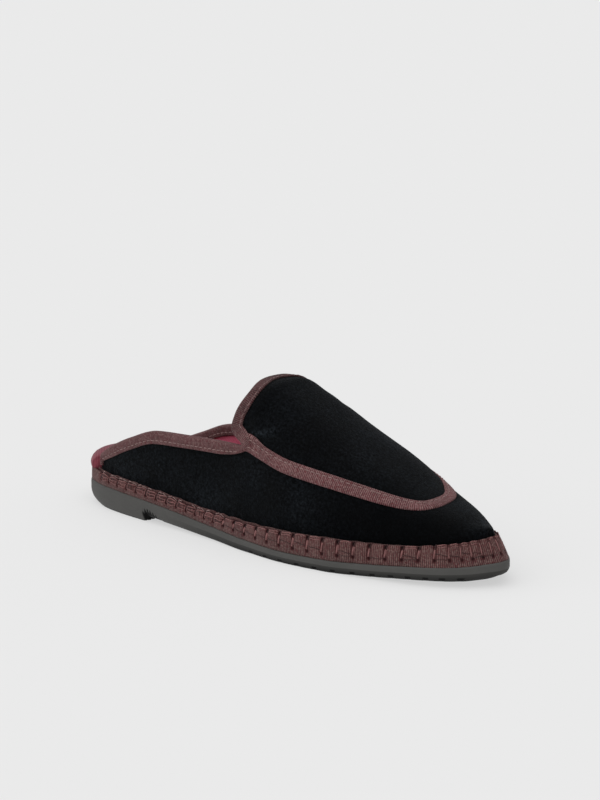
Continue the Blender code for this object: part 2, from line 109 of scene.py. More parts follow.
# %% Curves through the tables
def smooth(stations, values, at):
    """Cubic through the rows of a table that never swings past them: its slope at a row is the harmonic mean
    of the slopes on both sides, or zero at a peak."""
    at = np.asarray(at, float)
    step = np.diff(stations)
    slope = np.diff(values) / step
    product = slope[:-1] * slope[1:]
    total = np.where(product > 0.0, slope[:-1] + slope[1:], 1.0)
    inner = np.where(product > 0.0, 2.0 * product / total, 0.0)
    tangent = np.concatenate(([slope[0]], inner, [slope[-1]]))
    row = np.clip(np.searchsorted(stations, at, side="right") - 1, 0, len(step) - 1)
    u = (at - stations[row]) / step[row]
    start = (1.0 + 2.0 * u) * (1.0 - u) ** 2 * values[row] + u * (1.0 - u) ** 2 * step[row] * tangent[row]
    end = u**2 * (3.0 - 2.0 * u) * values[row + 1] + u**2 * (u - 1.0) * step[row] * tangent[row + 1]
    return start + end


def turn_at(distance):
    """Turn of the station at a distance from the heel's back: the arc cosine of 1 - 2 distance / length."""
    return np.arccos(np.clip(1.0 - 2.0 * np.asarray(distance, float) / LENGTH, -1.0, 1.0))


def from_heel(turn):
    """Distance of a station from the heel's back: half the length times 1 - cosine of the turn."""
    return LENGTH / 2.0 * (1.0 - np.cos(turn))


def read(table, name, turn):
    """A column of a table at a station's turn, by the cubic through its rows."""
    return smooth(turn_at(table["from_heel"]), table[name], turn)


def ramp(low, high, value):
    """Smooth step: 0 below low, 1 above high, and 3u^2 - 2u^3 between them."""
    u = np.clip((np.asarray(value, float) - low) / (high - low), 0.0, 1.0)
    return u * u * (3.0 - 2.0 * u)


def bump(distance, width):
    """A soft bell: the exponential of minus the square of distance over width."""
    return np.exp(-((np.asarray(distance, float) / width) ** 2))


widest = (SOLE["outer"] + SOLE["inner"]).argmax()
print("the sole's widest row lies", SOLE["from_heel"][widest], "mm from the heel's back")


# %% The sole's edge
TOE_START, TOE_STRETCH = 200.0, 1.9  # towards the tip an inset along the shoe counts up to this much
NUDGE = 1e-4  # change over which a slope is measured


def outline(sign, turn):
    """Plan point of the sole's edge on the side of a sign, and the direction that points out of the shoe
    there: the edge's tangent turned by a right angle."""
    sign, turn = np.broadcast_arrays(np.asarray(sign, float), np.asarray(turn, float))

    def width(at):
        return np.where(sign < 0.0, read(SOLE, "outer", at), read(SOLE, "inner", at))

    low, high = np.clip(turn - NUDGE, 0.0, np.pi), np.clip(turn + NUDGE, 0.0, np.pi)
    along = from_heel(high) - from_heel(low)
    across = sign * (width(high) - width(low))
    length = np.hypot(along, across)
    normal = np.stack([-sign * across / length, sign * along / length], -1)
    return np.stack([from_heel(turn), sign * width(turn)], -1), normal


def edge(sign, turn, inset):
    """Plan point that stands in from the sole's edge. Along the shoe the inset is stretched towards the toe,
    and across it fades out at the tip, so every layer keeps a round nose."""
    point, normal = outline(sign, turn)
    near_toe = np.clip((from_heel(turn) - TOE_START) / (LENGTH - TOE_START), 0.0, 1.0)
    stretch = 1.0 + (TOE_STRETCH - 1.0) * near_toe**2
    move = np.stack([stretch * normal[..., 0], normal[..., 1] * np.abs(normal[..., 1])], -1)
    return point - np.asarray(inset)[..., None] * move


fine_turn = np.linspace(0.0, np.pi, 2001)
inner_reach = outline(1.0, fine_turn)[0][:, 1].max()
ORIGIN = np.array([-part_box("outsole")[0].x, inner_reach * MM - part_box("outsole")[1].y, 0.0]) / MM
print("the model's origin lies at", np.round(ORIGIN, 2), "mm from the heel's back")

# %% [markdown]
# ## The form of the foot
#
# A shoemaker stretches the upper over a last, a solid form of the foot. A scan of a last could be used, but
# its points would have no names. Here each section across the form is worked out from its height and its
# roundness, with a power of the cosine for its plan and a power of the sine for its height. The collar, the
# tongue and the apron are then lines on this form, given by heights or by shares of the way up to its ridge.

# %% The form of the foot
GAP = 0.3  # room between the upper and what it stands in
BAND_SET = 0.4  # the ribbon band stands in from the outsole
LIP_WIDTH = 0.9  # top of the band's rolled edge
LIP_DEPTH = 3.0  # the upper stands this deep in the band
CROWN_FULLNESS = 0.85  # power of the sine in an upper section
FORM = columns(
    "from_heel crown roundness",
    (0, 75.6, 0.62),
    (106, 75.6, 0.62),
    (118, 75.8, 0.63),
    (127, 76.2, 0.64),
    (136, 72.2, 0.65),
    (147, 66.8, 0.67),
    (169, 56.2, 0.70),
    (193, 45.3, 0.72),
    (216, 35.0, 0.75),
    (238, 28.7, 0.78),
    (250, 25.4, 0.80),
    (LENGTH, 24.2, 0.80),
)


def seat(turn):
    """Height at which upper and insole stand inside the band: the band's top less the depth."""
    return read(SOLE, "band_top", turn) - LIP_DEPTH


def upper_inset(turn):
    """How far the velvet stands in from the outsole's edge: the band's set, lean and lip, and a gap."""
    return BAND_SET + read(SOLE, "band_lean", turn) + LIP_WIDTH + GAP


def form(turn, girth):
    """Point of the upper's outside. Girth is -1 at the outer sole edge, 0 on the ridge, 1 at the inner edge.
    A section's plan follows a power of the cosine, and its height a power of the sine."""
    turn, girth = np.broadcast_arrays(np.asarray(turn, float), np.asarray(girth, float))
    inset = upper_inset(turn)
    outer, inner = edge(-1.0, turn, inset), edge(1.0, turn, inset)
    middle = (outer + inner) / 2.0
    foot = np.where((girth < 0.0)[..., None], outer, inner)
    angle = np.pi / 2.0 * (1.0 - np.abs(girth))
    spread = np.abs(np.cos(angle)) ** read(FORM, "roundness", turn)
    lift = np.sign(angle) * np.abs(np.sin(angle)) ** CROWN_FULLNESS
    low = seat(turn) + GAP
    plan = middle + (foot - middle) * spread[..., None]
    height = low + (read(FORM, "crown", turn) - low) * lift
    return np.concatenate([plan, height[..., None]], -1)


def unit(vectors):
    """Vectors divided by their length, with straight ahead in place of a vanishing one."""
    length = np.linalg.norm(vectors, axis=-1, keepdims=True)
    return np.where(length > 1e-9, vectors / np.maximum(length, 1e-9), (1.0, 0.0, 0.0))


def slopes(turn, girth):
    """How the form moves with the turn and with the girth, by central differences."""
    with_turn = (form(turn + NUDGE, girth) - form(turn - NUDGE, girth)) / (2.0 * NUDGE)
    with_girth = (form(turn, girth + NUDGE) - form(turn, girth - NUDGE)) / (2.0 * NUDGE)
    return with_turn, with_girth


print("the ridge is at most", FORM["crown"].max(), "mm high")

# %% Edges of the upper
REAR_END, THROAT = 18.0, 126.5  # back and front end of a side wall
SIGN = {"outer": -1.0, "inner": 1.0}  # little-toe side and big-toe side
COLLAR = columns(
    "from_heel outer inner",
    (REAR_END, 25.4, 22.6),
    (26, 29.8, 25.2),
    (45, 38.4, 32.6),
    (63, 44.2, 39.2),
    (84, 45.6, 42.8),
    (106, 46.8, 45.6),
    (THROAT, 47.6, 47.6),
)
TONGUE = columns(
    "climb edge",
    (0, THROAT),
    (0.055, 122.6),
    (0.085, 119.2),
    (0.12, 116.2),
    (0.17, 115.0),
    (0.3, 115.6),
    (0.65, 119.0),
    (1, 117.4),
)


def rise_at(turn, height):
    """Share of the way from sole to ridge at which a section reaches a height: the arc sine of the height's
    own share, with the fullness undone, over a right angle."""
    low = seat(turn) + GAP
    share = np.clip((height - low) / (read(FORM, "crown", turn) - low), 0.0, 1.0)
    return np.arcsin(share ** (1.0 / CROWN_FULLNESS)) * 2.0 / np.pi


def collar_girth(side, turn):
    """Girth of a side wall's top edge: 1 less its rise, with the sign of the side."""
    return SIGN[side] * (1.0 - rise_at(turn, read(COLLAR, side, turn)))


def tongue_climb(girth):
    """Share of the climb from the throat to the ridge at a girth: 1 less the girth over the throat's."""
    throat = 1.0 - rise_at(turn_at(THROAT), COLLAR["outer"][-1])
    return np.clip(1.0 - np.abs(girth) / throat, 0.0, 1.0)


def tongue_turn(girth):
    """Turn of the tongue edge at a girth, by its climb from the throat to the ridge."""
    return turn_at(smooth(TONGUE["climb"], TONGUE["edge"], tongue_climb(girth)))


print("the throat lies", THROAT, "mm from the heel's back")

# %% Seam of the apron
APRON = columns(
    "way seam rise",
    (0, 127.4, 0.363),
    (8, 135.0, 0.368),
    (22, 148.5, 0.374),
    (42, 168.0, 0.420),
    (60, 184.8, 0.481),
    (77, 200.4, 0.563),
    (92, 213.2, 0.679),
    (103, 220.0, 0.783),
    (111, 222.7, 0.885),
    (119, 223.6, 1.000),
)
APRON_SKEW, APRON_SKEW_POWER = 0.055, 6  # the apron's tip lies a little to the outer side
APRON_DROP, DROP_AT, DROP_OVER = 0.085, 168.0, 22.0  # and its inner run a little lower
APRON_WAY = 2.0 * APRON["way"][-1]  # from one end of the seam to the other, as the table counts


def apron_path(way):
    """Turn and girth along the apron seam: the table from the outer throat to the tip, then the same rows
    mirrored to the inner throat, with the tip pushed to the outer side and the inner run lower."""
    there = APRON["way"]
    both_ways = np.concatenate([there, 2.0 * there[-1] - there[-2::-1]])
    seam = np.concatenate([APRON["seam"], APRON["seam"][-2::-1]])
    girth = np.concatenate([APRON["rise"] - 1.0, 1.0 - APRON["rise"][-2::-1]])
    skew = APRON_SKEW * np.sin(np.pi * np.clip(way / both_ways[-1], 0.0, 1.0)) ** APRON_SKEW_POWER
    drop = APRON_DROP * np.exp(-(((way - DROP_AT) / DROP_OVER) ** 2))
    return turn_at(smooth(both_ways, seam, way)), smooth(both_ways, girth, way) - skew + drop


print("rows along half of the apron's seam:", len(APRON["way"]))

# %% [markdown]
# ## From arrays to meshes
#
# Every new piece is a set of patches. A patch is a grid of points with a grid of places on the cloth, both
# worked out as whole arrays. One function turns patches into an object: it writes points, faces and a UV map,
# merges the points that two patches share, and makes closed pieces face outwards. The UV map is in
# millimetres of cloth, so that a weave keeps its real size wherever the piece bends.


# %% From grids to an object
def quads(shape):
    """Corners of the quads of a stack of grids with that shape: (number of grids, rows, columns)."""
    index = np.arange(np.prod(shape)).reshape(shape)
    corners = (index[:, :-1, :-1], index[:, 1:, :-1], index[:, 1:, 1:], index[:, :-1, 1:])
    return np.stack(corners, -1).reshape(-1, 4)


def make_piece(name, patches, material, closed=True, masks=None):
    """An object from patches of (points, places on the cloth), each one grid or a stack of grids. A mask is a
    value for each point, or one number for all."""
    points, places, faces, start = [], [], [], 0
    for grid, cloth in patches:
        grid = grid if grid.ndim == 4 else grid[None]
        faces.append(start + quads(grid.shape[:3]))
        points.append(grid.reshape(-1, 3))
        places.append(np.broadcast_to(cloth, grid.shape[:3] + (2,)).reshape(-1, 2))
        start += len(points[-1])
    points, places, faces = map(np.concatenate, (points, places, faces))
    mesh = bpy.data.meshes.new(name)
    mesh.from_pydata((points - ORIGIN) * MM, [], faces)
    layer = mesh.uv_layers.new(name="cloth_mm")
    layer.uv.foreach_set("vector", places[faces.ravel()].astype(np.float32).ravel())
    for label, values in (masks or {}).items():
        attribute = mesh.attributes.new(label, "FLOAT", "POINT")
        values = np.broadcast_to(np.ravel(values), len(points))
        attribute.data.foreach_set("value", values.astype(np.float32))
    shape = bmesh.new()
    shape.from_mesh(mesh)
    bmesh.ops.remove_doubles(shape, verts=shape.verts, dist=1e-6)
    bmesh.ops.dissolve_degenerate(shape, edges=shape.edges, dist=1e-7)
    if closed:
        bmesh.ops.recalc_face_normals(shape, faces=shape.faces)
    shape.to_mesh(mesh)
    shape.free()
    mesh.shade_smooth()
    mesh.materials.append(material)
    piece = bpy.data.objects.new(name, mesh)
    bpy.context.scene.collection.objects.link(piece)
    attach(piece, "root")
    print(f"{name}: {len(mesh.vertices)} points, {len(mesh.polygons)} faces")
    return piece


print("a grid of 3 by 4 points has", len(quads((1, 3, 4))), "quads")


# %% Profiles and threads along a path
def arc_length(points):
    """Distance along a row of points, from its first one: the sum of the steps so far."""
    steps = np.linalg.norm(np.diff(points, axis=-2), axis=-1)
    zero = np.zeros(steps.shape[:-1] + (1,))
    return np.concatenate([zero, np.cumsum(steps, axis=-1)], -1)


def with_ends(rings):
    """Rings with one more at each end, shrunk to the middle of the end ring, which closes it."""
    first = np.broadcast_to(rings[:1].mean(1, keepdims=True), rings[:1].shape)
    last = np.broadcast_to(rings[-1:].mean(1, keepdims=True), rings[-1:].shape)
    return np.concatenate([first, rings, last])


def carried(rings, along, across):
    """A patch from rings of points along a path, closed round each ring and at both ends. Its place on the
    cloth is the length along the path and the length across the profile."""
    rings = np.concatenate([rings, rings[:, :1]], axis=1)
    along = np.concatenate([along[:1], along, along[-1:]])
    across = np.append(across, across[-1] + 1.0)
    cloth = np.stack(np.broadcast_arrays(along[:, None], across[None, :]), -1)
    return with_ends(rings), cloth


def tubes(paths, normals, radius, sides=6):
    """Round threads along a stack of paths: circles of a radius in the plane of the surface's normal and the
    sideways direction, shrunk to a point at both ends."""
    ahead = unit(np.gradient(paths, axis=-2))
    sideways = unit(np.cross(ahead, normals))
    upward = np.cross(sideways, ahead)
    angle = np.linspace(0.0, 2.0 * np.pi, sides + 1)
    radius = np.broadcast_to(np.asarray(radius, float), paths.shape[:-1])
    reach = radius[..., None, None]
    ring = np.cos(angle)[:, None] * sideways[..., None, :] + np.sin(angle)[:, None] * upward[..., None, :]
    rings = paths[..., None, :] + reach * ring
    centre = np.broadcast_to(paths[..., None, :], rings.shape)
    grids = np.concatenate([centre[:, :1], rings, centre[:, -1:]], axis=1)
    along = arc_length(paths)
    along = np.concatenate([along[:, :1], along, along[:, -1:]], axis=1)
    turns = np.linspace(0.0, 1.0, sides + 1)
    cloth = np.stack(np.broadcast_arrays(along[..., None], turns), -1)
    return grids, cloth


print("along three sides of a square:", arc_length(np.array([[0, 0], [1, 0], [1, 1], [0, 1]])))

# %% [markdown]
# ## Shader tools
#
# Materials are node trees. A small helper adds a node and joins its sockets in one call. Effects that several
# cloths share are node groups: the ribs of grosgrain ribbon, and the over-and-under of a plain weave. A group
# hands out only values that change over the surface; the shader and its constant numbers stay in each
# material.


# %% Node helpers
def add_node(tree, kind, sockets=None, **settings):
    """A node with settings on the node itself, and sockets by name or number set or linked."""
    node = tree.nodes.new("ShaderNode" + kind)
    for name, value in settings.items():
        setattr(node, name, value)
    for name, value in (sockets or {}).items():
        if isinstance(value, bpy.types.NodeSocket):
            tree.links.new(value, node.inputs[name])
        else:
            node.inputs[name].default_value = value
    return node


def maths(tree, operation, *values):
    """The output of one Math node."""
    node = add_node(tree, "Math", dict(enumerate(values)), operation=operation)
    return node.outputs[0]


def mix_colours(tree, share, first, second):
    """A blend of two colours by a share."""
    node = add_node(tree, "Mix", {0: share, 6: first, 7: second}, data_type="RGBA")
    return node.outputs[2]


def remap(tree, value, low, high, new_low, new_high):
    """A value moved from one range into another, and held there."""
    sockets = {0: value, 1: low, 2: high, 3: new_low, 4: new_high}
    return add_node(tree, "MapRange", sockets).outputs[0]


def noise(tree, vector, size, detail=2.0, roughness=0.5):
    """Soft noise whose lumps are about so many millimetres across."""
    sockets = {"Vector": vector, "Scale": 1.0 / (size * MM), "Detail": detail, "Roughness": roughness}
    return add_node(tree, "TexNoise", sockets).outputs["Fac"]


def new_group(name, inputs, outputs):
    """An empty node group with float inputs of given values and float outputs, and its two end nodes."""
    tree = bpy.data.node_groups.new(name, "ShaderNodeTree")
    for label, value in inputs.items():
        socket = tree.interface.new_socket(label, in_out="INPUT", socket_type="NodeSocketFloat")
        socket.default_value = value
    for label in outputs:
        tree.interface.new_socket(label, in_out="OUTPUT", socket_type="NodeSocketFloat")
    return tree, tree.nodes.new("NodeGroupInput"), tree.nodes.new("NodeGroupOutput")


def use_group(tree, group, **values):
    """A group placed in a material with its own values."""
    return add_node(tree, "Group", values, node_tree=group).outputs


def new_material(name, **constants):
    """A material with a Principled shader and that shader's constant numbers."""
    material = bpy.data.materials.new(name)
    material.use_nodes = True
    shader = material.node_tree.nodes["Principled BSDF"]
    for label, value in constants.items():
        shader.inputs[label.replace("_", " ")].default_value = value
    return material, material.node_tree, shader


def finish_shader(tree, shader, colour, roughness, height, depth):
    """Joins colour, roughness and a bump height in millimetres to the shader."""
    tree.links.new(colour, shader.inputs["Base Color"])
    tree.links.new(roughness, shader.inputs["Roughness"])
    bump_node = add_node(tree, "Bump", {"Height": height, "Distance": depth * MM, "Strength": 1.0})
    tree.links.new(bump_node.outputs["Normal"], shader.inputs["Normal"])


print("node helpers ready")

# %% [markdown]
# ## Weaves as node groups
#
# Grosgrain is a ribbon with fine ribs straight across it. An image of one could be tiled, but here the ribs
# are worked out from the cloth's own millimetres: a wave along the ribbon makes the ribs, a finer one across
# it the yarns, and a little noise makes no two ribs alike. Lining and insole are plain weave, so theirs is
# the product of two waves, one along and one across.


# %% Ribs and plain weave
def make_ribs():
    """Height is a cosine along the ribbon at the rib's pitch, a finer one across it, and noise. Groove is 1
    between two ribs."""
    tree, given, result = new_group("ribs", {"Along": 0.0, "Across": 0.0, "Pitch": 0.8}, ("Height", "Groove"))
    along, across, pitch = (given.outputs[n] for n in ("Along", "Across", "Pitch"))
    place = add_node(tree, "CombineXYZ", {0: along, 1: across}).outputs[0]
    uneven = add_node(tree, "TexNoise", {"Vector": place, "Scale": 0.9, "Detail": 2.0}).outputs["Fac"]
    wander = maths(tree, "MULTIPLY", maths(tree, "SUBTRACT", uneven, 0.5), 0.35)
    phase = maths(tree, "ADD", maths(tree, "DIVIDE", along, pitch), wander)
    rib = maths(tree, "COSINE", maths(tree, "MULTIPLY", phase, 2.0 * np.pi))
    rib = maths(tree, "MULTIPLY_ADD", rib, 0.5, 0.5)
    yarn = maths(tree, "COSINE", maths(tree, "MULTIPLY", across, 2.0 * np.pi / 0.36))
    fuzz = add_node(tree, "TexNoise", {"Vector": place, "Scale": 4.0, "Detail": 3.0}).outputs["Fac"]
    height = maths(tree, "MULTIPLY_ADD", yarn, 0.1, maths(tree, "MULTIPLY", rib, 0.75))
    height = maths(tree, "MULTIPLY_ADD", fuzz, 0.35, height)
    tree.links.new(height, result.inputs["Height"])
    tree.links.new(maths(tree, "POWER", maths(tree, "SUBTRACT", 1.0, rib), 2.0), result.inputs["Groove"])
    return tree


def make_weave():
    """Height is the sine along times the sine across, each with one wave to two yarns, and some noise."""
    tree, given, result = new_group("plain_weave", {"Along": 0.0, "Across": 0.0, "Pitch": 0.6}, ("Height",))
    waves = []
    for name in ("Along", "Across"):
        phase = maths(tree, "DIVIDE", given.outputs[name], given.outputs["Pitch"])
        waves.append(maths(tree, "SINE", maths(tree, "MULTIPLY", phase, np.pi)))
    weave = maths(tree, "MULTIPLY_ADD", maths(tree, "MULTIPLY", *waves), 0.5, 0.5)
    place = add_node(tree, "CombineXYZ", {0: given.outputs["Along"], 1: given.outputs["Across"]}).outputs[0]
    fuzz = add_node(tree, "TexNoise", {"Vector": place, "Scale": 2.5, "Detail": 3.0}).outputs["Fac"]
    tree.links.new(maths(tree, "MULTIPLY_ADD", fuzz, 0.6, weave), result.inputs["Height"])
    return tree


ribs_group, weave_group = make_ribs(), make_weave()
print("groups:", ribs_group.name, weave_group.name)

# %% [markdown]
# ## Finishes and masks
#
# Each finish is one Principled shader. Its constant numbers are set on the shader itself; colour, roughness and
# bump come from patterns. Pictures of cloth could be tiled over the pieces, but a worked-out pattern has no
# seams. What differs from place to place, such as a brushed patch of nap or painted shade in a pulled hole,
# comes from masks on the piece. Some of these masks paint light and shade.


# %% Masks and places on the cloth
def mask(tree, name):
    """The value of one of the piece's masks."""
    return add_node(tree, "Attribute", attribute_name=name).outputs["Fac"]


def cloth_place(tree):
    """Length along and across the cloth, in millimetres, from the piece's own UV map."""
    place = add_node(tree, "UVMap", uv_map="cloth_mm").outputs[0]
    parts = add_node(tree, "SeparateXYZ", {0: place}).outputs
    return parts[0], parts[1]


print("a finish can read masks and places on the cloth")

# %% [markdown]
# ## Velvet
#
# Velvet is a dark cloth whose upright nap swallows light from the front and glows a little where it is seen
# edge on. Hair could be grown on the mesh for it, at the cost of many thousand strands. Here the shader's
# sheen gives the glow, and noise of two sizes the brushed patches and the single tufts.

# %% Velvet
VELVET_DEEP, VELVET_LIGHT = (0.0002, 0.0003, 0.0005, 1), (0.0220, 0.0270, 0.0330, 1)


def make_velvet():
    """Two sizes of noise, mixed and sharpened by a power, give tufts on brushed patches. A mask says how light
    the nap is brushed. It also lays painted highlights along creases and painted shade on a side turned from
    the light. The sheen gives its glow."""
    material, tree, shader = new_material(
        "black_velvet",
        Specular_IOR_Level=0.06,
        Sheen_Weight=0.06,
        Sheen_Roughness=0.30,
        Sheen_Tint=(0.86, 0.90, 0.96, 1.0),
    )
    place = add_node(tree, "TexCoord").outputs["Object"]
    tuft = noise(tree, place, 1.3, 4.0, 0.75)
    brushed = noise(tree, place, 20.0, 2.0)
    fibre = noise(tree, place, 0.35, 2.0)
    share = maths(tree, "MULTIPLY_ADD", tuft, 1.0, maths(tree, "MULTIPLY", brushed, 0.22))
    share = remap(tree, share, 0.42, 0.86, 0.0, 1.0)
    share = maths(tree, "MULTIPLY", maths(tree, "POWER", share, 1.8), mask(tree, "nap_and_light"))
    colour = mix_colours(tree, share, VELVET_DEEP, VELVET_LIGHT)
    roughness = remap(tree, brushed, 0.3, 0.7, 0.85, 1.0)
    height = maths(tree, "MULTIPLY_ADD", tuft, 0.7, maths(tree, "MULTIPLY", fibre, 0.4))
    finish_shader(tree, shader, colour, roughness, height, 0.5)
    return material


velvet = make_velvet()
print("made", velvet.name)

# %% [markdown]
# ## Ribbon
#
# The grosgrain of this shoe is brown with a wine cast, and its ribs catch light. One flat brown would look like
# paint. Here two browns are mixed by a soft stain and by the height of the ribs, whose tops get a painted
# highlight. Pale and red flecks are laid over them, and painted shade darkens the grooves between the ribs.

# %% Ribbon
# Painted shade for the band: dark red in its folds, near black in its pulled holes; black for a ribbon in
# shade.
WINE, FOLD_SHADE_RED, HOLE_SHADE = (0.155, 0.044, 0.042, 1), (0.045, 0.007, 0.008, 1), (0.006, 0.001, 0.001, 1)
SHADE_BLACK = (0.0, 0.0, 0.0, 1)


def make_ribbon(name, low, high, pitch, sewn=False):
    """Ribbed ribbon between two colours, with flecks, a painted highlight on its ribs and painted shade between
    them. A sewn one has masks for painted shade in its pulled holes, folds and back, and for its wine-red part.
    Any other one has a mask of painted shade, for a ribbon that lies more in shade."""
    material, tree, shader = new_material(
        name,
        Specular_IOR_Level=0.2,
        Sheen_Weight=0.05,
        Sheen_Roughness=0.5,
        Sheen_Tint=(0.95, 0.80, 0.78, 1.0),
    )
    along, across = cloth_place(tree)
    ribs = use_group(tree, ribs_group, Along=along, Across=across, Pitch=pitch)
    place = add_node(tree, "TexCoord").outputs["Object"]
    stain = noise(tree, place, 7.0, 3.0, 0.6)
    # The rib tops are mixed lighter: painted highlight.
    share = maths(tree, "MULTIPLY_ADD", stain, 0.9, maths(tree, "MULTIPLY", ribs["Height"], 0.55))
    share = remap(tree, share, 0.45, 1.05, 0.0, 1.0)
    colour = mix_colours(tree, share, low, high)
    fleck = (1.5 * high[0], 1.8 * high[1], 1.7 * high[2], 1.0)
    wine_red = (0.65 * high[0], 0.22 * high[1], 0.28 * high[2], 1.0)
    speck = noise(tree, place, 0.9, 2.0, 0.6)
    colour = mix_colours(tree, remap(tree, speck, 0.52, 0.64, 0.0, 0.6), colour, fleck)
    colour = mix_colours(tree, remap(tree, speck, 0.47, 0.36, 0.0, 0.7), colour, wine_red)
    # Painted shade darkens the grooves between the ribs.
    dark_shade = tuple(0.3 * c for c in low[:3]) + (1.0,)
    colour = mix_colours(tree, maths(tree, "MULTIPLY", ribs["Groove"], 0.65), colour, dark_shade)
    if sewn:
        hole_and_shade = mask(tree, "hole_and_shade")
        blotch = remap(tree, noise(tree, place, 2.2, 2.0), 0.35, 0.65, 0.25, 1.0)
        colour = mix_colours(tree, maths(tree, "MULTIPLY", mask(tree, "wine"), blotch), colour, WINE)
        # Painted shade in holes, folds, beside each thread and behind the lobes: dark red first, then near
        # black.
        for start, shade in ((0.0, FOLD_SHADE_RED), (0.5, HOLE_SHADE)):
            colour = mix_colours(tree, remap(tree, hole_and_shade, start, start + 0.5, 0.0, 1.0), colour, shade)
    else:
        # Painted shade: a share of black for a ribbon that lies more in shade.
        colour = mix_colours(tree, mask(tree, "painted_shade"), colour, SHADE_BLACK)
    roughness = remap(tree, ribs["Height"], 0.2, 1.0, 0.85, 0.62)
    finish_shader(tree, shader, colour, roughness, ribs["Height"], 0.16)
    return material


binding_ribbon = make_ribbon("binding_grosgrain", (0.074, 0.0335, 0.0340, 1), (0.236, 0.110, 0.112, 1), 0.92)
band_ribbon = make_ribbon(
    "band_grosgrain", (0.062, 0.029, 0.028, 1), (0.165, 0.085, 0.080, 1), 0.93, sewn=True
)
print("made", binding_ribbon.name, "and", band_ribbon.name)

# %% [markdown]
# ## Thread
#
# Sewing thread is twisted from finer yarns, which show as slanted stripes. Each yarn could be a tube of its
# own. At this size a stripe that turns as it runs along the thread does as well, and needs no more faces.


# %% Thread
def make_thread(name, low, high):
    """Twisted thread: slanted stripes from its length and the turn round it."""
    material, tree, shader = new_material(
        name, Specular_IOR_Level=0.35, Sheen_Weight=0.1, Sheen_Roughness=0.4
    )
    along, turned = cloth_place(tree)
    phase = maths(tree, "MULTIPLY_ADD", along, 1.4, turned)
    twist = maths(tree, "COSINE", maths(tree, "MULTIPLY", phase, 4.0 * np.pi))
    twist = maths(tree, "MULTIPLY_ADD", twist, 0.5, 0.5)
    place = add_node(tree, "TexCoord").outputs["Object"]
    share = maths(tree, "MULTIPLY_ADD", noise(tree, place, 3.0), 0.9, maths(tree, "MULTIPLY", twist, 0.4))
    colour = mix_colours(tree, remap(tree, share, 0.3, 1.0, 0.0, 1.0), low, high)
    roughness = remap(tree, twist, 0.0, 1.0, 0.75, 0.5)
    finish_shader(tree, shader, colour, roughness, twist, 0.12)
    return material


edge_thread = make_thread("binding_thread", (0.20, 0.115, 0.110, 1), (0.45, 0.29, 0.275, 1))
whip_thread = make_thread("whip_thread", (0.17, 0.060, 0.060, 1), (0.40, 0.185, 0.175, 1))
rear_thread = make_thread("rear_thread", (0.120, 0.040, 0.040, 1), (0.38, 0.175, 0.165, 1))
dark_thread = make_thread("dark_thread", (0.018, 0.003, 0.003, 1), (0.060, 0.010, 0.010, 1))
print("made", ", ".join(finish.name for finish in (edge_thread, whip_thread, rear_thread, dark_thread)))

# %% [markdown]
# ## Lining and insole cloth
#
# Inside, the shoe is lined with a wine-red cloth. Its yarns could be modelled one by one, but they are far
# too many; the plain weave of the node group gives their relief and mixes two reds.


# %% Lining and insole cloth
def make_cloth(name, low, high, pitch):
    """Plain-weave cloth: two colours mixed by the weave's height and a soft noise."""
    material, tree, shader = new_material(
        name,
        Specular_IOR_Level=0.25,
        Sheen_Weight=0.15,
        Sheen_Roughness=0.5,
        Sheen_Tint=(1.0, 0.85, 0.88, 1.0),
    )
    along, across = cloth_place(tree)
    weave = use_group(tree, weave_group, Along=along, Across=across, Pitch=pitch)["Height"]
    place = add_node(tree, "TexCoord").outputs["Object"]
    share = maths(tree, "MULTIPLY_ADD", noise(tree, place, 9.0), 0.8, maths(tree, "MULTIPLY", weave, 0.6))
    colour = mix_colours(tree, remap(tree, share, 0.4, 1.2, 0.0, 1.0), low, high)
    roughness = remap(tree, weave, 0.2, 1.2, 0.9, 0.7)
    finish_shader(tree, shader, colour, roughness, weave, 0.12)
    return material


lining_cloth = make_cloth("lining_cloth", (0.36, 0.055, 0.105, 1), (0.62, 0.125, 0.200, 1), 0.55)
insole_cloth = make_cloth("insole_cloth", (0.085, 0.013, 0.022, 1), (0.24, 0.046, 0.066, 1), 0.9)
print("made", lining_cloth.name, "and", insole_cloth.name)

# %% [markdown]
# ## Rubber
#
# The sole is grey moulded rubber, a little dusty. A single grey would look like a plastic toy, so noise of two
# sizes gives it dust and a fine grain. One mask makes the lower side and the underside darker. Another one
# paints shade into the comb of fins, the notches and the hollow under the comb, and darkens the heel's lower
# edge.

# %% Rubber
RUBBER_LOW, RUBBER_HIGH = (0.067, 0.066, 0.0635, 1), (0.108, 0.106, 0.101, 1)
# The first grey makes the lower side and the underside darker. The near black is painted shade in the comb, the
# notches and the hollow under the comb, and darkens the heel's lower edge.
LOWER_GREY, PIT_SHADE = (0.012, 0.012, 0.0115, 1), (0.0005, 0.0005, 0.0005, 1)


def make_rubber():
    """Moulded rubber: a fine grain and dusty patches. One mask darkens the lower side and the underside.
    Another gives painted shade in pits and a darker heel edge.
    """
    material, tree, shader = new_material("grey_rubber", Specular_IOR_Level=0.10)
    place = add_node(tree, "TexCoord").outputs["Object"]
    dust = noise(tree, place, 14.0, 4.0, 0.6)
    grain = noise(tree, place, 0.5, 2.0)
    colour = mix_colours(tree, dust, RUBBER_LOW, RUBBER_HIGH)
    colour = mix_colours(tree, mask(tree, "darker_below"), colour, LOWER_GREY)
    colour = mix_colours(tree, mask(tree, "pit_shade_and_edge"), colour, PIT_SHADE)
    roughness = remap(tree, dust, 0.3, 0.7, 0.48, 0.68)
    finish_shader(tree, shader, colour, roughness, grain, 0.05)
    return material


rubber = make_rubber()
print("made", rubber.name)

# %% [markdown]
# ## Where the stitches go
#
# The band round the sole is sewn on with whip stitches. Their pitch is wider along the forefoot and closer
# round the toe, where the ribbon has to be eased in. A count runs once round the shoe, from the heel's back
# along the outer side and back along the inner side; every whole count is a place for a stitch. Velvet and
# band both read it, so that their puckers meet.

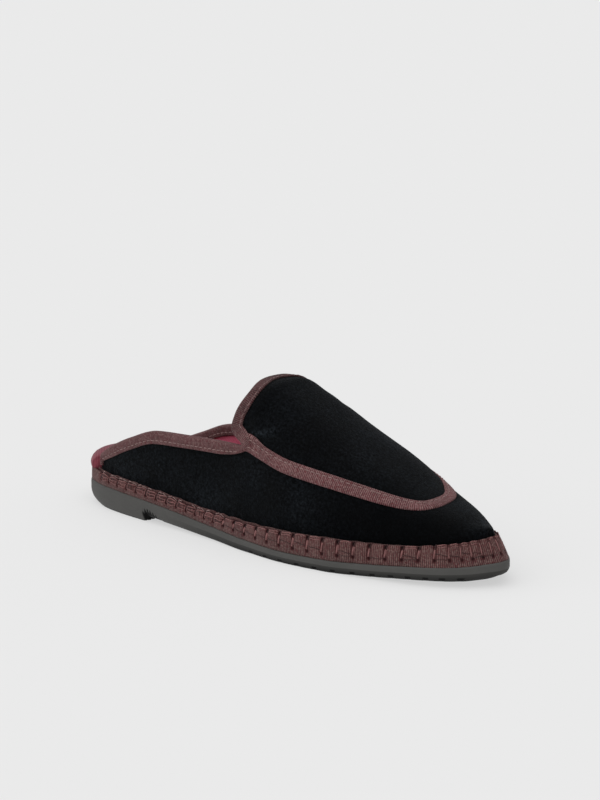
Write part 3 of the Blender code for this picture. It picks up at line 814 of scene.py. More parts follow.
# %% Stitch count round the sole
STITCHES = 78
TIP = STITCHES / 2.0  # count at the toe's tip
SEWN_FROM = 19.0  # behind the velvet the band is plain
ARC = {sign: arc_length(outline(sign, fine_turn)[0]) for sign in SIGN.values()}
OUTER_ARC = ARC[-1.0][-1]
SPACING = columns(
    "arc count",
    (0, 0),
    (75, 10),
    (104, 14),
    (124, 17),
    (156, 21),
    (222, 29),
    (254, 33),
    (261.5, 34),
    (OUTER_ARC, TIP),
)
COUNT = {
    sign: smooth(SPACING["arc"], SPACING["count"], ARC[sign] * OUTER_ARC / ARC[sign][-1]) for sign in ARC
}


def count_at(turn, girth):
    """Stitch count at a station on the side that a girth names, read between the counts of fine stations."""
    outer = np.interp(turn, fine_turn, COUNT[-1.0])
    inner = STITCHES - np.interp(turn, fine_turn, COUNT[1.0])
    return np.where(np.asarray(girth) < 0.0, outer, inner)


def station_at(count):
    """Side and turn of the station at a stitch count: the same reading, turned round."""
    count = np.asarray(count, float) % STITCHES
    sign = np.where(count <= TIP, -1.0, 1.0)
    outer = np.interp(count, COUNT[-1.0], fine_turn)
    inner = np.interp(STITCHES - count, COUNT[1.0], fine_turn)
    return sign, np.where(count <= TIP, outer, inner)


def from_stitch(count):
    """Share of the way from the nearest stitch to the middle between two, from 0 to 1."""
    return 2.0 * np.abs(count - np.round(count))


print("stitch places:", STITCHES, "round", round(OUTER_ARC + ARC[1.0][-1]), "mm")

# %% [markdown]
# ## The velvet upper
#
# The upper is cut from two pieces of velvet: a plug over the instep, and a wall that runs round it and back
# to the heel. Its surface is the form of the foot with a soft relief on top. The velvet sinks under the apron
# ribbon and under the bound edges, the plug swells a little, the foot of the wall is gathered by the whip
# stitches, and a few creases lie where they do on the real shoe: by the throat, at the heel, and over the
# nose. A sculpted mesh could have these too, but a formula keeps each one a named size.


# %% Lines on the velvet
def nearest(points, path):
    """Distance from each point to the nearest point of a path, and that point's number. The square of a
    distance is the sum of both squared lengths less twice their product."""
    flat = points.reshape(-1, 3)
    square = (flat**2).sum(1)[:, None] + (path**2).sum(1)[None, :] - 2.0 * flat @ path.T
    which = square.argmin(1)
    distance = np.sqrt(np.maximum(square[np.arange(len(flat)), which], 0.0))
    return distance.reshape(points.shape[:-1]), which.reshape(points.shape[:-1])


def seam_frame(turn, girth):
    """Points of a line on the form, the direction to the left of the line, and how turn and girth change for
    a step of one millimetre that way: left is the normal crossed with the way ahead, and the step is left put
    through the inverse of the slopes."""
    with_turn, with_girth = slopes(turn, girth)
    normal = unit(np.cross(with_turn, with_girth))
    path = form(turn, girth)
    left = np.cross(normal, unit(np.gradient(path, axis=0)))
    sides = np.stack([with_turn, with_girth], -1)
    step = np.einsum("nij,nj->ni", np.linalg.pinv(sides), left)
    return path, left, step


def evenly(turn, girth, count, reach=0.0):
    """The same line with points at even distances, carried straight on by a reach at both ends."""
    run = arc_length(form(turn, girth))
    at = np.linspace(-reach, run[-1] + reach, count)
    line = []
    for values in (turn, girth):
        ends = (values[0] - values[1]) / run[1], (values[-1] - values[-2]) / (run[-1] - run[-2])
        past = np.maximum(-at, 0.0) * ends[0] + np.maximum(at - run[-1], 0.0) * ends[1]
        line.append(np.interp(at, run, values) + past)
    return line


SEAM, TO_PLUG, _ = seam_frame(*apron_path(np.linspace(0.0, APRON_WAY, 300)))
rear_turn = np.linspace(turn_at(REAR_END), turn_at(THROAT), 90)
throat_girth = collar_girth("inner", turn_at(THROAT))
tongue_girth = np.linspace(-throat_girth, throat_girth, 90)
BOUND_EDGE = np.concatenate(
    [form(rear_turn, collar_girth(side, rear_turn)) for side in SIGN]
    + [form(tongue_turn(tongue_girth), tongue_girth)]
)
print("points along the bound edges:", len(BOUND_EDGE))

# %% Relief of the velvet, in millimetres
SEAM_DEPTH, SEAM_WIDTH = 0.5, 3.6  # valley under the apron ribbon
PLUG_SWELL, SWELL_WIDTH = 0.15, 11.0  # swell of the plug, away from its edges
EDGE_DEPTH, EDGE_WIDTH = 0.4, 4.0  # press of a binding
GATHER, GATHER_FADE = 0.22, 2.6  # gathers above the band
PUCKER = 0.4  # so near to a stitch they sink, in half pitches
TOE_EASE, EASE_OVER = 0.75, (215.0, 250.0)  # towards the toe they are lower by this share
FOOT_SWELL, FOOT_HEIGHT = 0.35, 7.0  # the velvet swells over the band
TIP_CALM = (LENGTH - 2.2, LENGTH - 0.2)  # at the very tip, where the sections close, all of this fades
# A crease runs from one place to another, a place being a distance from the heel's back and a girth.
CREASES = columns(
    "start_x start_girth end_x end_girth width depth",
    (131.0, -0.585, 144.0, -0.46, 1.8, 0.70),
    (124.0, -0.52, 134.0, -0.36, 1.8, 0.35),
    (253.0, -0.15, 256.6, -0.60, 1.2, 0.25),
    (31.0, -0.80, 52.0, -0.72, 4.0, 0.35),
    (128.0, 0.50, 145.0, 0.26, 2.4, 0.45),
)


def velvet_relief(turn, girth, points):
    """How far the velvet stands out from the form: the sum of the bells and waves named above."""
    seam, which = nearest(points, SEAM)
    plug = ((points - SEAM[which]) * TO_PLUG[which]).sum(-1) > 0.0
    rim, _ = nearest(points, BOUND_EDGE)
    above = points[..., 2] - read(SOLE, "band_top", turn)
    swell = PLUG_SWELL * plug * (1.0 - bump(seam, SWELL_WIDTH)) * (1.0 - bump(rim, SWELL_WIDTH))
    relief = swell - SEAM_DEPTH * bump(seam, SEAM_WIDTH) - EDGE_DEPTH * bump(rim, EDGE_WIDTH)
    relief += FOOT_SWELL * bump(above - FOOT_HEIGHT, FOOT_HEIGHT)
    lobe = 1.0 - 2.0 * bump(from_stitch(count_at(turn, girth)), PUCKER)
    gather = GATHER * (1.0 - TOE_EASE * ramp(*EASE_OVER, from_heel(turn)))
    relief += gather * lobe * np.exp(-np.maximum(above, 0.0) / GATHER_FADE)
    line = np.linspace(0.0, 1.0, 24)
    for start_x, start_girth, end_x, end_girth, width, depth in zip(*CREASES.values()):
        along = turn_at(start_x + line * (end_x - start_x))
        trough, _ = nearest(points, form(along, start_girth + line * (end_girth - start_girth)))
        relief += 0.5 * depth * bump(trough, 3.0 * width) - depth * bump(trough, width)
    return relief * (1.0 - ramp(*TIP_CALM, from_heel(turn)))


print("creases:", len(CREASES["depth"]))

# %% [markdown]
# ## Brushed nap and painted light
#
# Velvet looks lighter or darker by the way its nap was last brushed. That could be painted on the mesh by hand.
# A table of soft bells does the same, and each of its rows can be read and changed: a place, a reach in
# millimetres, and how much lighter or darker the nap is there. Not every row is nap. Narrow bright bells lay a
# painted highlight along the fold beside the throat and along the toe's ridge. A few dark ones lay painted
# shade on the outer side of the forefoot, which is turned from the light.

# %% Brushed nap and painted light
NAP_MIDDLE, NAP_RANGE = 0.40, (0.1, 3.0)  # how light the nap is away from the bells, and its limits
NAP_AND_LIGHT = columns(
    "x girth reach share",
    (127.0, -0.33, 10.0, -0.20),
    (140.0, -0.05, 13.0, 0.12),
    (150.0, 0.05, 11.0, 0.20),
    (167.0, 0.12, 9.0, 0.45),
    (182.0, 0.15, 9.0, 0.45),
    (184.0, -0.16, 9.0, 0.40),
    (197.0, -0.05, 8.0, 0.20),
    (211.0, 0.04, 7.0, 0.30),
    (36.0, -0.93, 10.0, 0.55),
    (55.0, -0.90, 13.0, 0.55),
    (78.0, -0.92, 12.0, 0.30),
    (97.0, -0.97, 9.0, 0.50),
    (112.0, -0.93, 9.0, 0.30),
    (136.0, -0.73, 11.0, 0.35),
    (166.0, -0.83, 10.0, 0.35),
    # These three rows darken the outer side of the forefoot, which is turned from the light: painted shade.
    (190.0, -0.80, 12.0, -0.20),
    (211.0, -0.71, 14.0, -0.30),
    (235.0, -0.75, 14.0, -0.30),
    (133.0, -0.62, 5.0, -0.30),
    (165.0, -0.34, 9.0, -0.15),
    (233.0, 0.09, 9.0, 0.35),
    (21.0, -0.96, 4.0, -0.40),
    # From here to the toe's rows: narrow bright bells that lay a painted highlight along the fold beside the
    # throat and along the toe's ridge.
    (131.0, -0.555, 1.5, 2.2),
    (134.0, -0.53, 1.5, 2.4),
    (137.0, -0.50, 1.6, 2.0),
    (140.5, -0.465, 1.8, 1.2),
    (246.0, 0.24, 1.5, 1.6),
    (249.0, 0.18, 1.4, 2.0),
    (252.0, 0.12, 1.4, 1.8),
    (251.0, -0.10, 6.0, 0.30),
    (60.0, 0.88, 12.0, 0.25),
    (100.0, 0.93, 10.0, 0.30),
    (140.0, 0.75, 11.0, 0.25),
    (175.0, 0.80, 10.0, 0.25),
    (205.0, 0.72, 12.0, -0.20),
    (165.0, 0.45, 11.0, -0.15),
)


def nap_and_painted_light(points):
    """How light the nap is brushed, painted highlight and shade included: a middle share, plus a bell round the
    place of each row of the table.
    """
    light = np.full(points.shape[:-1], NAP_MIDDLE)
    for x, girth, reach, share in zip(*NAP_AND_LIGHT.values()):
        light += share * bump(np.linalg.norm(points - form(turn_at(x), girth), axis=-1), reach)
    return np.clip(light, *NAP_RANGE)


print("bells of brushed nap:", len(NAP_AND_LIGHT["share"]))

# %% Velvet and lining
CLOTH_HALF = 60.0  # about so many millimetres of cloth lie between the sole and the ridge
VELVET_THICK, LINING_THICK, LINING_DEPTH, LINING_END = 1.2, 0.6, 1.35, 240.0


def upper_grids(wall_rows, wall_columns, vamp_rows, vamp_columns, front):
    """Turn and girth on three grids: the two side walls behind the throat, and all that lies ahead of it up
    to a front station."""
    share = np.linspace(0.0, 1.0, wall_columns + 1)
    rear = np.linspace(turn_at(REAR_END), turn_at(THROAT), wall_rows + 1)
    grids = []
    for side, sign in SIGN.items():
        girth = sign + share * (collar_girth(side, rear)[:, None] - sign)
        girth = girth if sign < 0.0 else girth[:, ::-1]
        grids.append((np.broadcast_to(rear[:, None], girth.shape), girth))
    wall = -1.0 + share * (1.0 - throat_girth)
    half = np.concatenate([wall, np.linspace(-throat_girth, 0.0, vamp_columns + 1)[1:]])
    girth = np.concatenate([half, -half[-2::-1]])
    start = tongue_turn(girth)
    turn = start + np.linspace(0.0, 1.0, vamp_rows + 1)[:, None] * (turn_at(front) - start)
    grids.append((turn, np.broadcast_to(girth, turn.shape)))
    return grids


def upper_sheet(name, material, counts, front, depth, thickness, relief=None):
    """A sheet at a depth under the form, thickened inwards. One with a relief also has a mask of brushed nap
    with painted highlight and shade.
    """
    patches, nap_and_light = [], []
    for turn, girth in upper_grids(*counts, front):
        points = form(turn, girth)
        out = np.full(turn.shape, -depth)
        if relief:
            out += relief(turn, girth, points)
            nap_and_light.append(nap_and_painted_light(points).ravel())
        normal = unit(np.cross(*slopes(turn, girth)))
        cloth = np.stack([from_heel(turn), girth * CLOTH_HALF], -1)
        patches.append((points + normal * out[..., None], cloth))
    masks = {"nap_and_light": np.concatenate(nap_and_light)} if relief else None
    piece = make_piece(name, patches, material, closed=False, masks=masks)
    wall = piece.modifiers.new("thickness", "SOLIDIFY")
    wall.thickness = thickness * MM
    wall.offset = -1.0
    return piece


upper = upper_sheet("velvet_upper", velvet, (70, 26, 130, 38), LENGTH, 0.0, VELVET_THICK, velvet_relief)
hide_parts("upper")
lining = upper_sheet("upper_lining", lining_cloth, (40, 14, 70, 22), LINING_END, LINING_DEPTH, LINING_THICK)

# %% [markdown]
# ## Bound edges
#
# The free edges of the velvet are bound with ribbon: it is laid along the edge, folded over it and sewn
# through with one row of stitches. A curve with a bevel could stand for it, but would be round. Here the
# ribbon's real section, with its rolled lower edge and the dip that the stitches pull, is carried along the
# edge, and every point of it is measured down the velvet and out from it, so it hugs the shoe.

# %% The section of a folded ribbon
TAPE_WIDTH, TAPE_TURN_IN = 5.2, 4.6  # how far the ribbon reaches down outside and inside
STITCH_ROW = 3.6
OUTSIDE = -0.5  # what stands out further than this belongs to the ribbon's outside
RUN_POINT = 9  # the section's point whose path gives the length along the ribbon
FOLDED = columns(
    "inward out",
    (TAPE_WIDTH - 0.2, 0.0),
    (TAPE_WIDTH + 0.05, 0.45),
    (TAPE_WIDTH - 0.15, 0.92),
    (4.55, 1.05),
    (4.0, 0.86),
    (STITCH_ROW, 0.72),
    (3.2, 0.86),
    (2.5, 1.02),
    (1.3, 1.12),
    (0.3, 1.10),
    (-0.45, 0.75),
    (-0.95, 0.0),
    (-1.10, -1.0),
    (-0.95, -2.0),
    (-0.45, -2.75),
    (0.3, -3.05),
    (2.0, -3.05),
    (2.9, -2.85),
    (3.8, -3.05),
    (TAPE_TURN_IN, -2.8),
    (TAPE_TURN_IN, -2.2),
    (0.0, -2.2),
    (0.0, -0.3),
    (2.4, -0.3),
)
FOLDED_ACROSS = arc_length(np.stack([FOLDED["inward"], FOLDED["out"]], -1))
print("round its section a folded ribbon measures", round(FOLDED_ACROSS[-1], 1), "mm")

# %% Places on the bound edges
COLLAR_TAPE = columns(
    "from_heel width",
    (REAR_END, 3.6),
    (25, 4.6),
    (34, 5.2),
    (106, 5.2),
    (117, 4.2),
    (123, 2.8),
    (THROAT, 1.6),
)


def collar_place(side, turn, inward, out):
    """Point of a side wall at a distance in from its top edge and out from the velvet, and the normal. The
    ribbon's outside tapers with the table of its width."""
    turn = np.asarray(turn, float)[:, None]
    girth = collar_girth(side, turn)
    per_girth = np.linalg.norm(slopes(turn, girth)[1], axis=-1)
    narrow = read(COLLAR_TAPE, "width", turn) / TAPE_WIDTH
    outside = (np.asarray(inward) > 0.0) & (np.asarray(out) > OUTSIDE)
    inward = np.where(outside, inward * narrow, inward)
    at = girth + SIGN[side] * inward / per_girth
    normal = unit(np.cross(*slopes(turn, at)))
    return form(turn, at) + normal * np.asarray(out)[..., None], normal


def line_place(turn, girth, inward, out):
    """Point to the left of a line on the form by a distance, measured over the velvet, and out from it, and
    the normal there."""
    _, _, step = seam_frame(turn, girth)
    at_turn = turn[:, None] + np.asarray(inward) * step[:, :1]
    at_girth = girth[:, None] + np.asarray(inward) * step[:, 1:]
    normal = unit(np.cross(*slopes(at_turn, at_girth)))
    return form(at_turn, at_girth) + normal * np.asarray(out)[..., None], normal


narrow, wide = COLLAR_TAPE["width"].min(), COLLAR_TAPE["width"].max()
print("outside, the collar's ribbon is", narrow, "to", wide, "mm wide")

# %% Collar bindings
# The collar's ribbon lies a little in shade. The tongue's lies more, most at its crest. A share of black is
# painted on as painted shade.
COLLAR_PAINTED_SHADE = 0.19  # against the apron's ribbon
COLLAR_FROM, COLLAR_TO = REAR_END - 0.6, THROAT - 0.4
END_WIDTH, END_FOOT = 0.45, 0.97  # the strip down a wall's back end is narrow, and stops in the band
collar_turn = np.linspace(turn_at(COLLAR_FROM), turn_at(COLLAR_TO), 150)
for side, sign in SIGN.items():
    rings, _ = collar_place(side, np.maximum(collar_turn, turn_at(REAR_END)), FOLDED["inward"], FOLDED["out"])
    patches = [carried(rings, arc_length(rings[:, RUN_POINT]), FOLDED_ACROSS)]
    end_girth = np.linspace(collar_girth(side, turn_at(REAR_END)), sign * END_FOOT, 20)
    end_girth = end_girth if sign < 0.0 else end_girth[::-1]
    end_turn = np.full(end_girth.shape, turn_at(REAR_END))
    slim = np.where(FOLDED["inward"] > 0.0, END_WIDTH, 1.0)
    rings, _ = line_place(end_turn, end_girth, FOLDED["inward"] * slim, FOLDED["out"])
    patches.append(carried(rings, arc_length(rings[:, RUN_POINT]), FOLDED_ACROSS))
    piece = make_piece(f"collar_ribbon_{side}", patches, binding_ribbon, masks={"painted_shade": COLLAR_PAINTED_SHADE})
    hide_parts(f"collar_binding_{side}")

# %% Tongue binding
TONGUE_TAPE = columns(
    "climb width",
    (0, 5.2),
    (0.1, 6.6),
    (0.17, 7.2),
    (0.28, 6.5),
    (0.42, 6.6),
    (0.6, 5.9),
    (0.78, 6.2),
    (0.9, 5.8),
    (1, 5.2),
)
TONGUE_REACH = 1.0  # the tongue's ribbon runs on past the throat, over the collar's
TONGUE_PROUD, PROUD_OVER = 0.3, 9.0  # and near there it stands proud of it
# Painted shade on the tongue's ribbon: most at its crest, little at its ends, where it meets the others.
TONGUE_PAINTED_SHADE, CREST_PAINTED_SHADE, END_PAINTED_SHADE = 0.46, 0.58, 0.12  # against the apron's ribbon
CREST, END_FADES = (0.75, 1.0), (4.0, 14.0)  # share of the climb, and millimetres from an end
tongue_girth = np.linspace(throat_girth, -throat_girth, 1500)
tongue_line = evenly(tongue_turn(tongue_girth), tongue_girth, 190, TONGUE_REACH)
run = arc_length(form(*tongue_line))
from_end = np.minimum(run, run[-1] - run)[:, None]
proud = TONGUE_PROUD * (1.0 - ramp(0.0, PROUD_OVER, from_end)) * (FOLDED["out"] > OUTSIDE)


def tongue_place(inward, out):
    """Point of the tongue's ribbon at a distance in from the edge, and the normal there. The ribbon's outside
    widens with the table of its width."""
    climb = tongue_climb(tongue_line[1])[:, None]
    wide = smooth(TONGUE_TAPE["climb"], TONGUE_TAPE["width"], climb) / TAPE_WIDTH
    outside = (np.asarray(inward) > 0.0) & (np.asarray(out) > OUTSIDE)
    return line_place(*tongue_line, np.where(outside, inward * wide, inward), out)


rings, _ = tongue_place(FOLDED["inward"], FOLDED["out"] + proud)
patch = carried(rings, arc_length(rings[:, RUN_POINT]), FOLDED_ACROSS)
# Painted shade along the tongue's ribbon.
painted_shade = TONGUE_PAINTED_SHADE + (CREST_PAINTED_SHADE - TONGUE_PAINTED_SHADE) * ramp(*CREST, tongue_climb(tongue_line[1]))
painted_shade = END_PAINTED_SHADE + (painted_shade - END_PAINTED_SHADE) * ramp(*END_FADES, from_end[:, 0])
painted_shade = np.broadcast_to(np.pad(painted_shade, 1, mode="edge")[:, None], patch[0].shape[:2])
tongue = make_piece("tongue_ribbon", [patch], binding_ribbon, masks={"painted_shade": painted_shade})
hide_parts("tongue_binding")

# %% [markdown]
# ## The apron ribbon
#
# A flat ribbon covers the seam between plug and wall. It lies in the valley of the velvet, so its section is
# low and wide with soft edges. At the throat its two ends climb over the collar's ribbon and go under the
# tongue's. A strip of the velvet's own faces could be raised for it, but a section carried along the seam
# gives it clean edges and ribs that run straight across.

# %% Flat ribbon along the apron seam
LAID = columns(
    "sideways out",
    (-3.4, -0.5),
    (-3.48, 0.25),
    (-3.2, 0.62),
    (-2.3, 0.78),
    (-0.6, 0.84),
    (0.6, 0.80),
    (1.0, 0.70),
    (1.36, 0.58),
    (1.72, 0.70),
    (2.2, 0.80),
    (2.8, 0.64),
    (3.12, 0.25),
    (3.05, -0.5),
    (0.0, -0.6),
)
LAID_RUN_POINT = 4  # the point of this section whose path gives the length along
APRON_REACH, APRON_CLIMB, CLIMB_OVER = 3.0, 0.25, 7.0  # the ends run on past the throat and climb there
APRON_SPREAD, SPREAD_OVER = 0.65, (2.0, 16.0)  # near its ends the ribbon is wider by this share
APRON_SLIM, SLIM_OVER = 0.26, (-6.0, 8.0)  # past the tip it is slimmer
APRON_FLAT, FLAT_AT, FLAT_WIDTH = 0.65, 36.0, 24.0  # and, so far past it, flatter
apron_way = np.linspace(0.0, APRON_WAY, 1500)
apron_line = evenly(*apron_path(apron_way), 360, APRON_REACH)
run = arc_length(form(*apron_line))
from_end = np.minimum(run, run[-1] - run)[:, None]
climb = APRON_CLIMB * (1.0 - ramp(0.0, CLIMB_OVER, from_end))
spread = 1.0 + APRON_SPREAD * (1.0 - ramp(*SPREAD_OVER, from_end))
past_tip = (run - 0.5 * run[-1])[:, None]
slim = 1.0 - APRON_SLIM * ramp(*SLIM_OVER, past_tip)
flat = 1.0 - APRON_FLAT * bump(past_tip - FLAT_AT, FLAT_WIDTH)


def apron_place(sideways, out):
    """Point beside the apron seam and out from the velvet, climbing at the ends, and the normal there. At its
    ends the ribbon spreads towards the plug."""
    sideways = np.where(np.asarray(sideways) > 0.0, sideways * spread, sideways * slim)
    out = np.where(np.asarray(out) > 0.0, out * flat + climb, out)
    return line_place(*apron_line, sideways, out)


rings, _ = apron_place(LAID["sideways"], LAID["out"])
laid_across = arc_length(np.stack([LAID["sideways"], LAID["out"]], -1))
patch = carried(rings, arc_length(rings[:, LAID_RUN_POINT]), laid_across)
# The apron's ribbon gets no painted shade.
apron = make_piece("apron_tape", [patch], binding_ribbon, masks={"painted_shade": 0.0})
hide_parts("apron_ribbon")

# %% [markdown]
# ## Rows of stitches
#
# A machine stitch comes up out of the cloth and goes back in after two or three millimetres. One stitch could
# be copied along a curve, but the copies would not bend with the ribbon. Here each one is a short arc of
# round thread, thinner at its ends; a whole row is one stack of such arcs, worked out at once.


# %% Stitch rows on the ribbons
def stitch_row(path, normals, pitch=3.1, length=2.25, radius=0.24):
    """Arcs along a path: a sine lifts the middle of each one out of the cloth."""
    run = arc_length(path)
    start = np.arange(pitch / 2.0, run[-1] - length, pitch)
    share = np.linspace(0.0, 1.0, 7)
    at = start[:, None] + share * length
    points = np.stack([np.interp(at, run, path[:, axis]) for axis in range(3)], -1)
    out = unit(np.stack([np.interp(at, run, normals[:, axis]) for axis in range(3)], -1))
    lift = radius * (1.1 * np.sin(np.pi * share) - 0.5)
    return tubes(points + out * lift[:, None], out, radius * (0.6 + 0.4 * np.sin(np.pi * share)))


TONGUE_THREAD = 0.17  # the tongue's stitches are finer
# A row lies so far in from the edge and out from the velvet, and shows outside (1) or inside (-1).
COLLAR_ROW, TONGUE_ROW, INSIDE_ROW = (STITCH_ROW, 0.80, 1.0), (4.25, 0.95, 1.0), (2.9, -2.93, -1.0)
# One on the apron lies so far beside the seam and out, and runs from one station to another.
APRON_ROWS = ((1.36, 0.66, 4, -4), (-1.2, 0.84, 4, 22), (-1.2, 0.84, -22, -4))
rows = []
for side in SIGN:
    for inward, out, face in (COLLAR_ROW, INSIDE_ROW):
        path, normals = collar_place(side, collar_turn[3:-3], np.array([inward]), np.array([out]))
        rows.append(stitch_row(path[:, 0], face * normals[:, 0]))
for inward, out, face in (TONGUE_ROW, INSIDE_ROW):
    path, normals = tongue_place(np.array([inward]), np.array([out]))
    rows.append(stitch_row(path[12:-12, 0], face * normals[12:-12, 0], radius=TONGUE_THREAD))
for sideways, out, first, last in APRON_ROWS:
    path, normals = apron_place(np.array([sideways]), np.array([out]))
    rows.append(stitch_row(path[first:last, 0], normals[first:last, 0]))
stitches = make_piece("binding_stitches", rows, edge_thread)

# %% [markdown]
# ## The whip-stitched band
#
# A strip of ribbon wraps the edge of the sole and is sewn to the velvet with thick whip stitches. Each stitch
# starts from a hole low in the band and pulls the ribbon in on its way up, so the ribbon swells into a row of
# soft lobes with dark folds between them. The ribbon's other edge stands up as a thin rim behind. A strip could
# be sculpted lobe by lobe. Here the band's face is a function of the stitch count and of the level from its
# foot to the top of the lobes. Lobes, folds and holes are bells on it, each with its size in millimetres, so
# threads can be laid over the same function. Holes, folds and the lines beside each thread are also darkened
# with painted shade, and so is the ribbon just behind the lobes.

# %% Sizes of the band
BAND_TOE = (208.0, 244.0)  # between these stations the band's upright side goes over into a leaning one
BAND_SIDE = columns(
    "lean height", (0.14, 0), (0, 0.16), (0.03, 0.50), (0.07, 0.75), (0.14, 0.92), (0.30, 1)
)
HOLE_HEIGHT, HOLE_WIDTH, HOLE_DEPTH = 2.8, 0.78, 0.6
LOBE, LOBE_EDGE = 0.42, 1.7  # swell between two stitches, and how near to one it starts
PINCH, PINCH_WIDTH = 0.40, 0.75  # pull of the thread, from the hole up
# Beside each thread, in each fold and in each hole, the band is darkened with painted shade as well as shaped.
LEG_SIDE, LEG_WIDTH, LEG_SHADE = 0.75, 0.3, 0.55  # dark lines run down on both sides of a thread
FOLD, FOLD_WIDTH, FOLD_SHADE = 1.1, 0.8, 0.95  # dark fold at the top, between two lobes
FOLD_LEVELS = (0.72, 0.97)
SCALLOP, SCALLOP_WIDTH = 1.1, 1.1  # the lobes' upper corners are round
RIM_SHOWS, RIM_HIDES, RIM_SINK = 0.75, (125.0, 170.0), 0.5  # the rim stands over the lobes at the rear alone
RIM_WAVE = 0.40
NOSE, NOSE_CALM = (230.0, 243.0), 0.6  # round the nose the stitches pull less
SEWN_BLUR = 2.0  # to both sides of the station where the sewn part starts
LOBE_TOE = 0.5  # at the toe the lobes swell less, by this share
uneven = np.random.default_rng(7)
LOBE_SIZE = uneven.uniform(0.6, 1.3, STITCHES)
RIM_LIFT = uneven.uniform(-1.0, 1.0, 2 * STITCHES)
print("the lobes swell by", np.round(LOBE * np.sort(LOBE_SIZE)[[0, -1]], 2), "mm")


# %% Face of the band
def beside_stitch(count):
    """Distance along the band from the nearest stitch, in millimetres: the odd part of the count times the
    length of one count there."""
    ahead, behind = (outline(*station_at(count + sign * 0.02))[0] for sign in (1.0, -1.0))
    pitch = np.linalg.norm(ahead - behind, axis=-1) / 0.04
    return (count - np.round(count)) * pitch


def rim_drop(turn):
    """How far the lobes end under the top of the band. Along the ball and the toe they reach it."""
    return RIM_SHOWS * (1.0 - ramp(*RIM_HIDES, from_heel(turn)))


def band_tall(turn):
    """Height of the lobes: the band's top less the rim's drop and the outsole's top."""
    return read(SOLE, "band_top", turn) - rim_drop(turn) - read(SOLE, "outsole_top", turn)


def band_face(count, level, out=0.0):
    """Point of the band's face, the direction out of it, and its painted shade. Level runs from 0 at the
    outsole to 1 at the top of the lobes. The face stands out by a lobe, less the bells of the pinch, the fold
    and the pulled holes. The same bells, with lines beside each thread, give the painted shade."""
    count, level = np.broadcast_arrays(np.asarray(count, float), np.asarray(level, float))
    sign, turn = station_at(count)
    tall = band_tall(turn)
    held = np.clip(level, 0.0, 1.0)
    share = smooth(BAND_SIDE["height"], BAND_SIDE["lean"], held)
    straight = ramp(*BAND_TOE, from_heel(turn))
    lean = read(SOLE, "band_lean", turn) * (share + straight * (held - share))
    apart = beside_stitch(count)
    number = np.floor(count).astype(int) % STITCHES
    hole_level = HOLE_HEIGHT / tall
    sewn = ramp(SEWN_FROM - SEWN_BLUR, SEWN_FROM + SEWN_BLUR, from_heel(turn))
    calm = 1.0 - NOSE_CALM * ramp(*NOSE, from_heel(turn))
    pulled = sewn * calm * ramp(hole_level - 0.1, hole_level + 0.2, level)
    folded = sewn * calm * ramp(*FOLD_LEVELS, level)
    plump = sewn * LOBE * LOBE_SIZE[number] * np.sin(np.pi * np.clip(0.1 + 0.75 * held, 0.0, 1.0))
    lobe = plump * (1.0 - bump(apart, LOBE_EDGE)) * (1.0 - LOBE_TOE * straight)
    hole_and_shade = sewn * bump(np.hypot(apart, (level - hole_level) * tall), HOLE_WIDTH)
    gap = bump(apart, FOLD_WIDTH) * folded
    stand = lobe - PINCH * bump(apart, PINCH_WIDTH) * pulled - FOLD * gap - HOLE_DEPTH * hole_and_shade + out
    _, plan_normal = outline(sign, turn)
    plan = edge(sign, turn, BAND_SET + lean) + stand[..., None] * plan_normal
    height = read(SOLE, "outsole_top", turn) + level * tall - SCALLOP * bump(apart, SCALLOP_WIDTH) * folded
    upward = 0.25 + 0.6 * ramp(0.6, 1.0, level)
    normal = unit(np.concatenate([plan_normal, upward[..., None]], -1))
    # Painted shade: lines beside each thread, the fold between lobes, and the holes.
    beside = LEG_SHADE * bump(np.abs(apart) - LEG_SIDE, LEG_WIDTH) * pulled
    dark_shade = np.clip(hole_and_shade + FOLD_SHADE * gap + beside, 0.0, 1.0)
    return np.concatenate([plan, height[..., None]], -1), normal, dark_shade


def band_inside(count, inset, below_top):
    """Point behind the band's face: an inset from the lean of its top, and a depth under the rim's top, which
    waves up and down."""
    sign, turn = station_at(count)
    plan = edge(sign, turn, BAND_SET + read(SOLE, "band_lean", turn) + inset)
    knots = np.arange(len(RIM_LIFT) + 1) * STITCHES / len(RIM_LIFT)
    wave = RIM_WAVE * np.interp(count, knots, np.append(RIM_LIFT, RIM_LIFT[0]))
    sink = RIM_SINK * ramp(*RIM_HIDES, from_heel(turn))
    height = read(SOLE, "band_top", turn) - below_top + (wave - RIM_WAVE) * (1.0 - sink) - sink
    return np.concatenate([plan, height[..., None]], -1)


print("the lobes are", np.round(band_tall(turn_at(np.array([50.0, 150.0, 250.0]))), 1), "mm tall")

# %% Ring of the band
WINE_REAR, WINE_FRONT, WINE_FADES = 0.5, 0.15, (95.0, 135.0)  # how red the sewn part of the ribbon is
WINE_STARTS, WINE_LEVELS = 10.0, (0.28, 0.45)  # it sets in over this way, and between these levels
# Just behind the tops of the lobes the ribbon is darkened with painted shade.
RUN_LEVEL, BACK_SHADE = 4, 0.9  # the level that gives the length along, and how dark it is behind the lobes
BACK_INSET, FOOT_INSET = 1.15, 2.4
LEVELS = np.concatenate([np.linspace(0.0, 0.5, 10), np.linspace(0.5, 1.0, 14)[1:]])
# Stations within one pitch lie closer together beside a stitch.
WITHIN = np.array([0, 0.045, 0.09, 0.14, 0.2, 0.28, 0.38, 0.5, 0.62, 0.72, 0.8, 0.86, 0.91, 0.955])
around = np.append((np.arange(STITCHES)[:, None] + WITHIN).ravel(), 0.0)
face, _, dark_shade = band_face(around[:, None], LEVELS[None, :])
drop = rim_drop(station_at(around)[1])
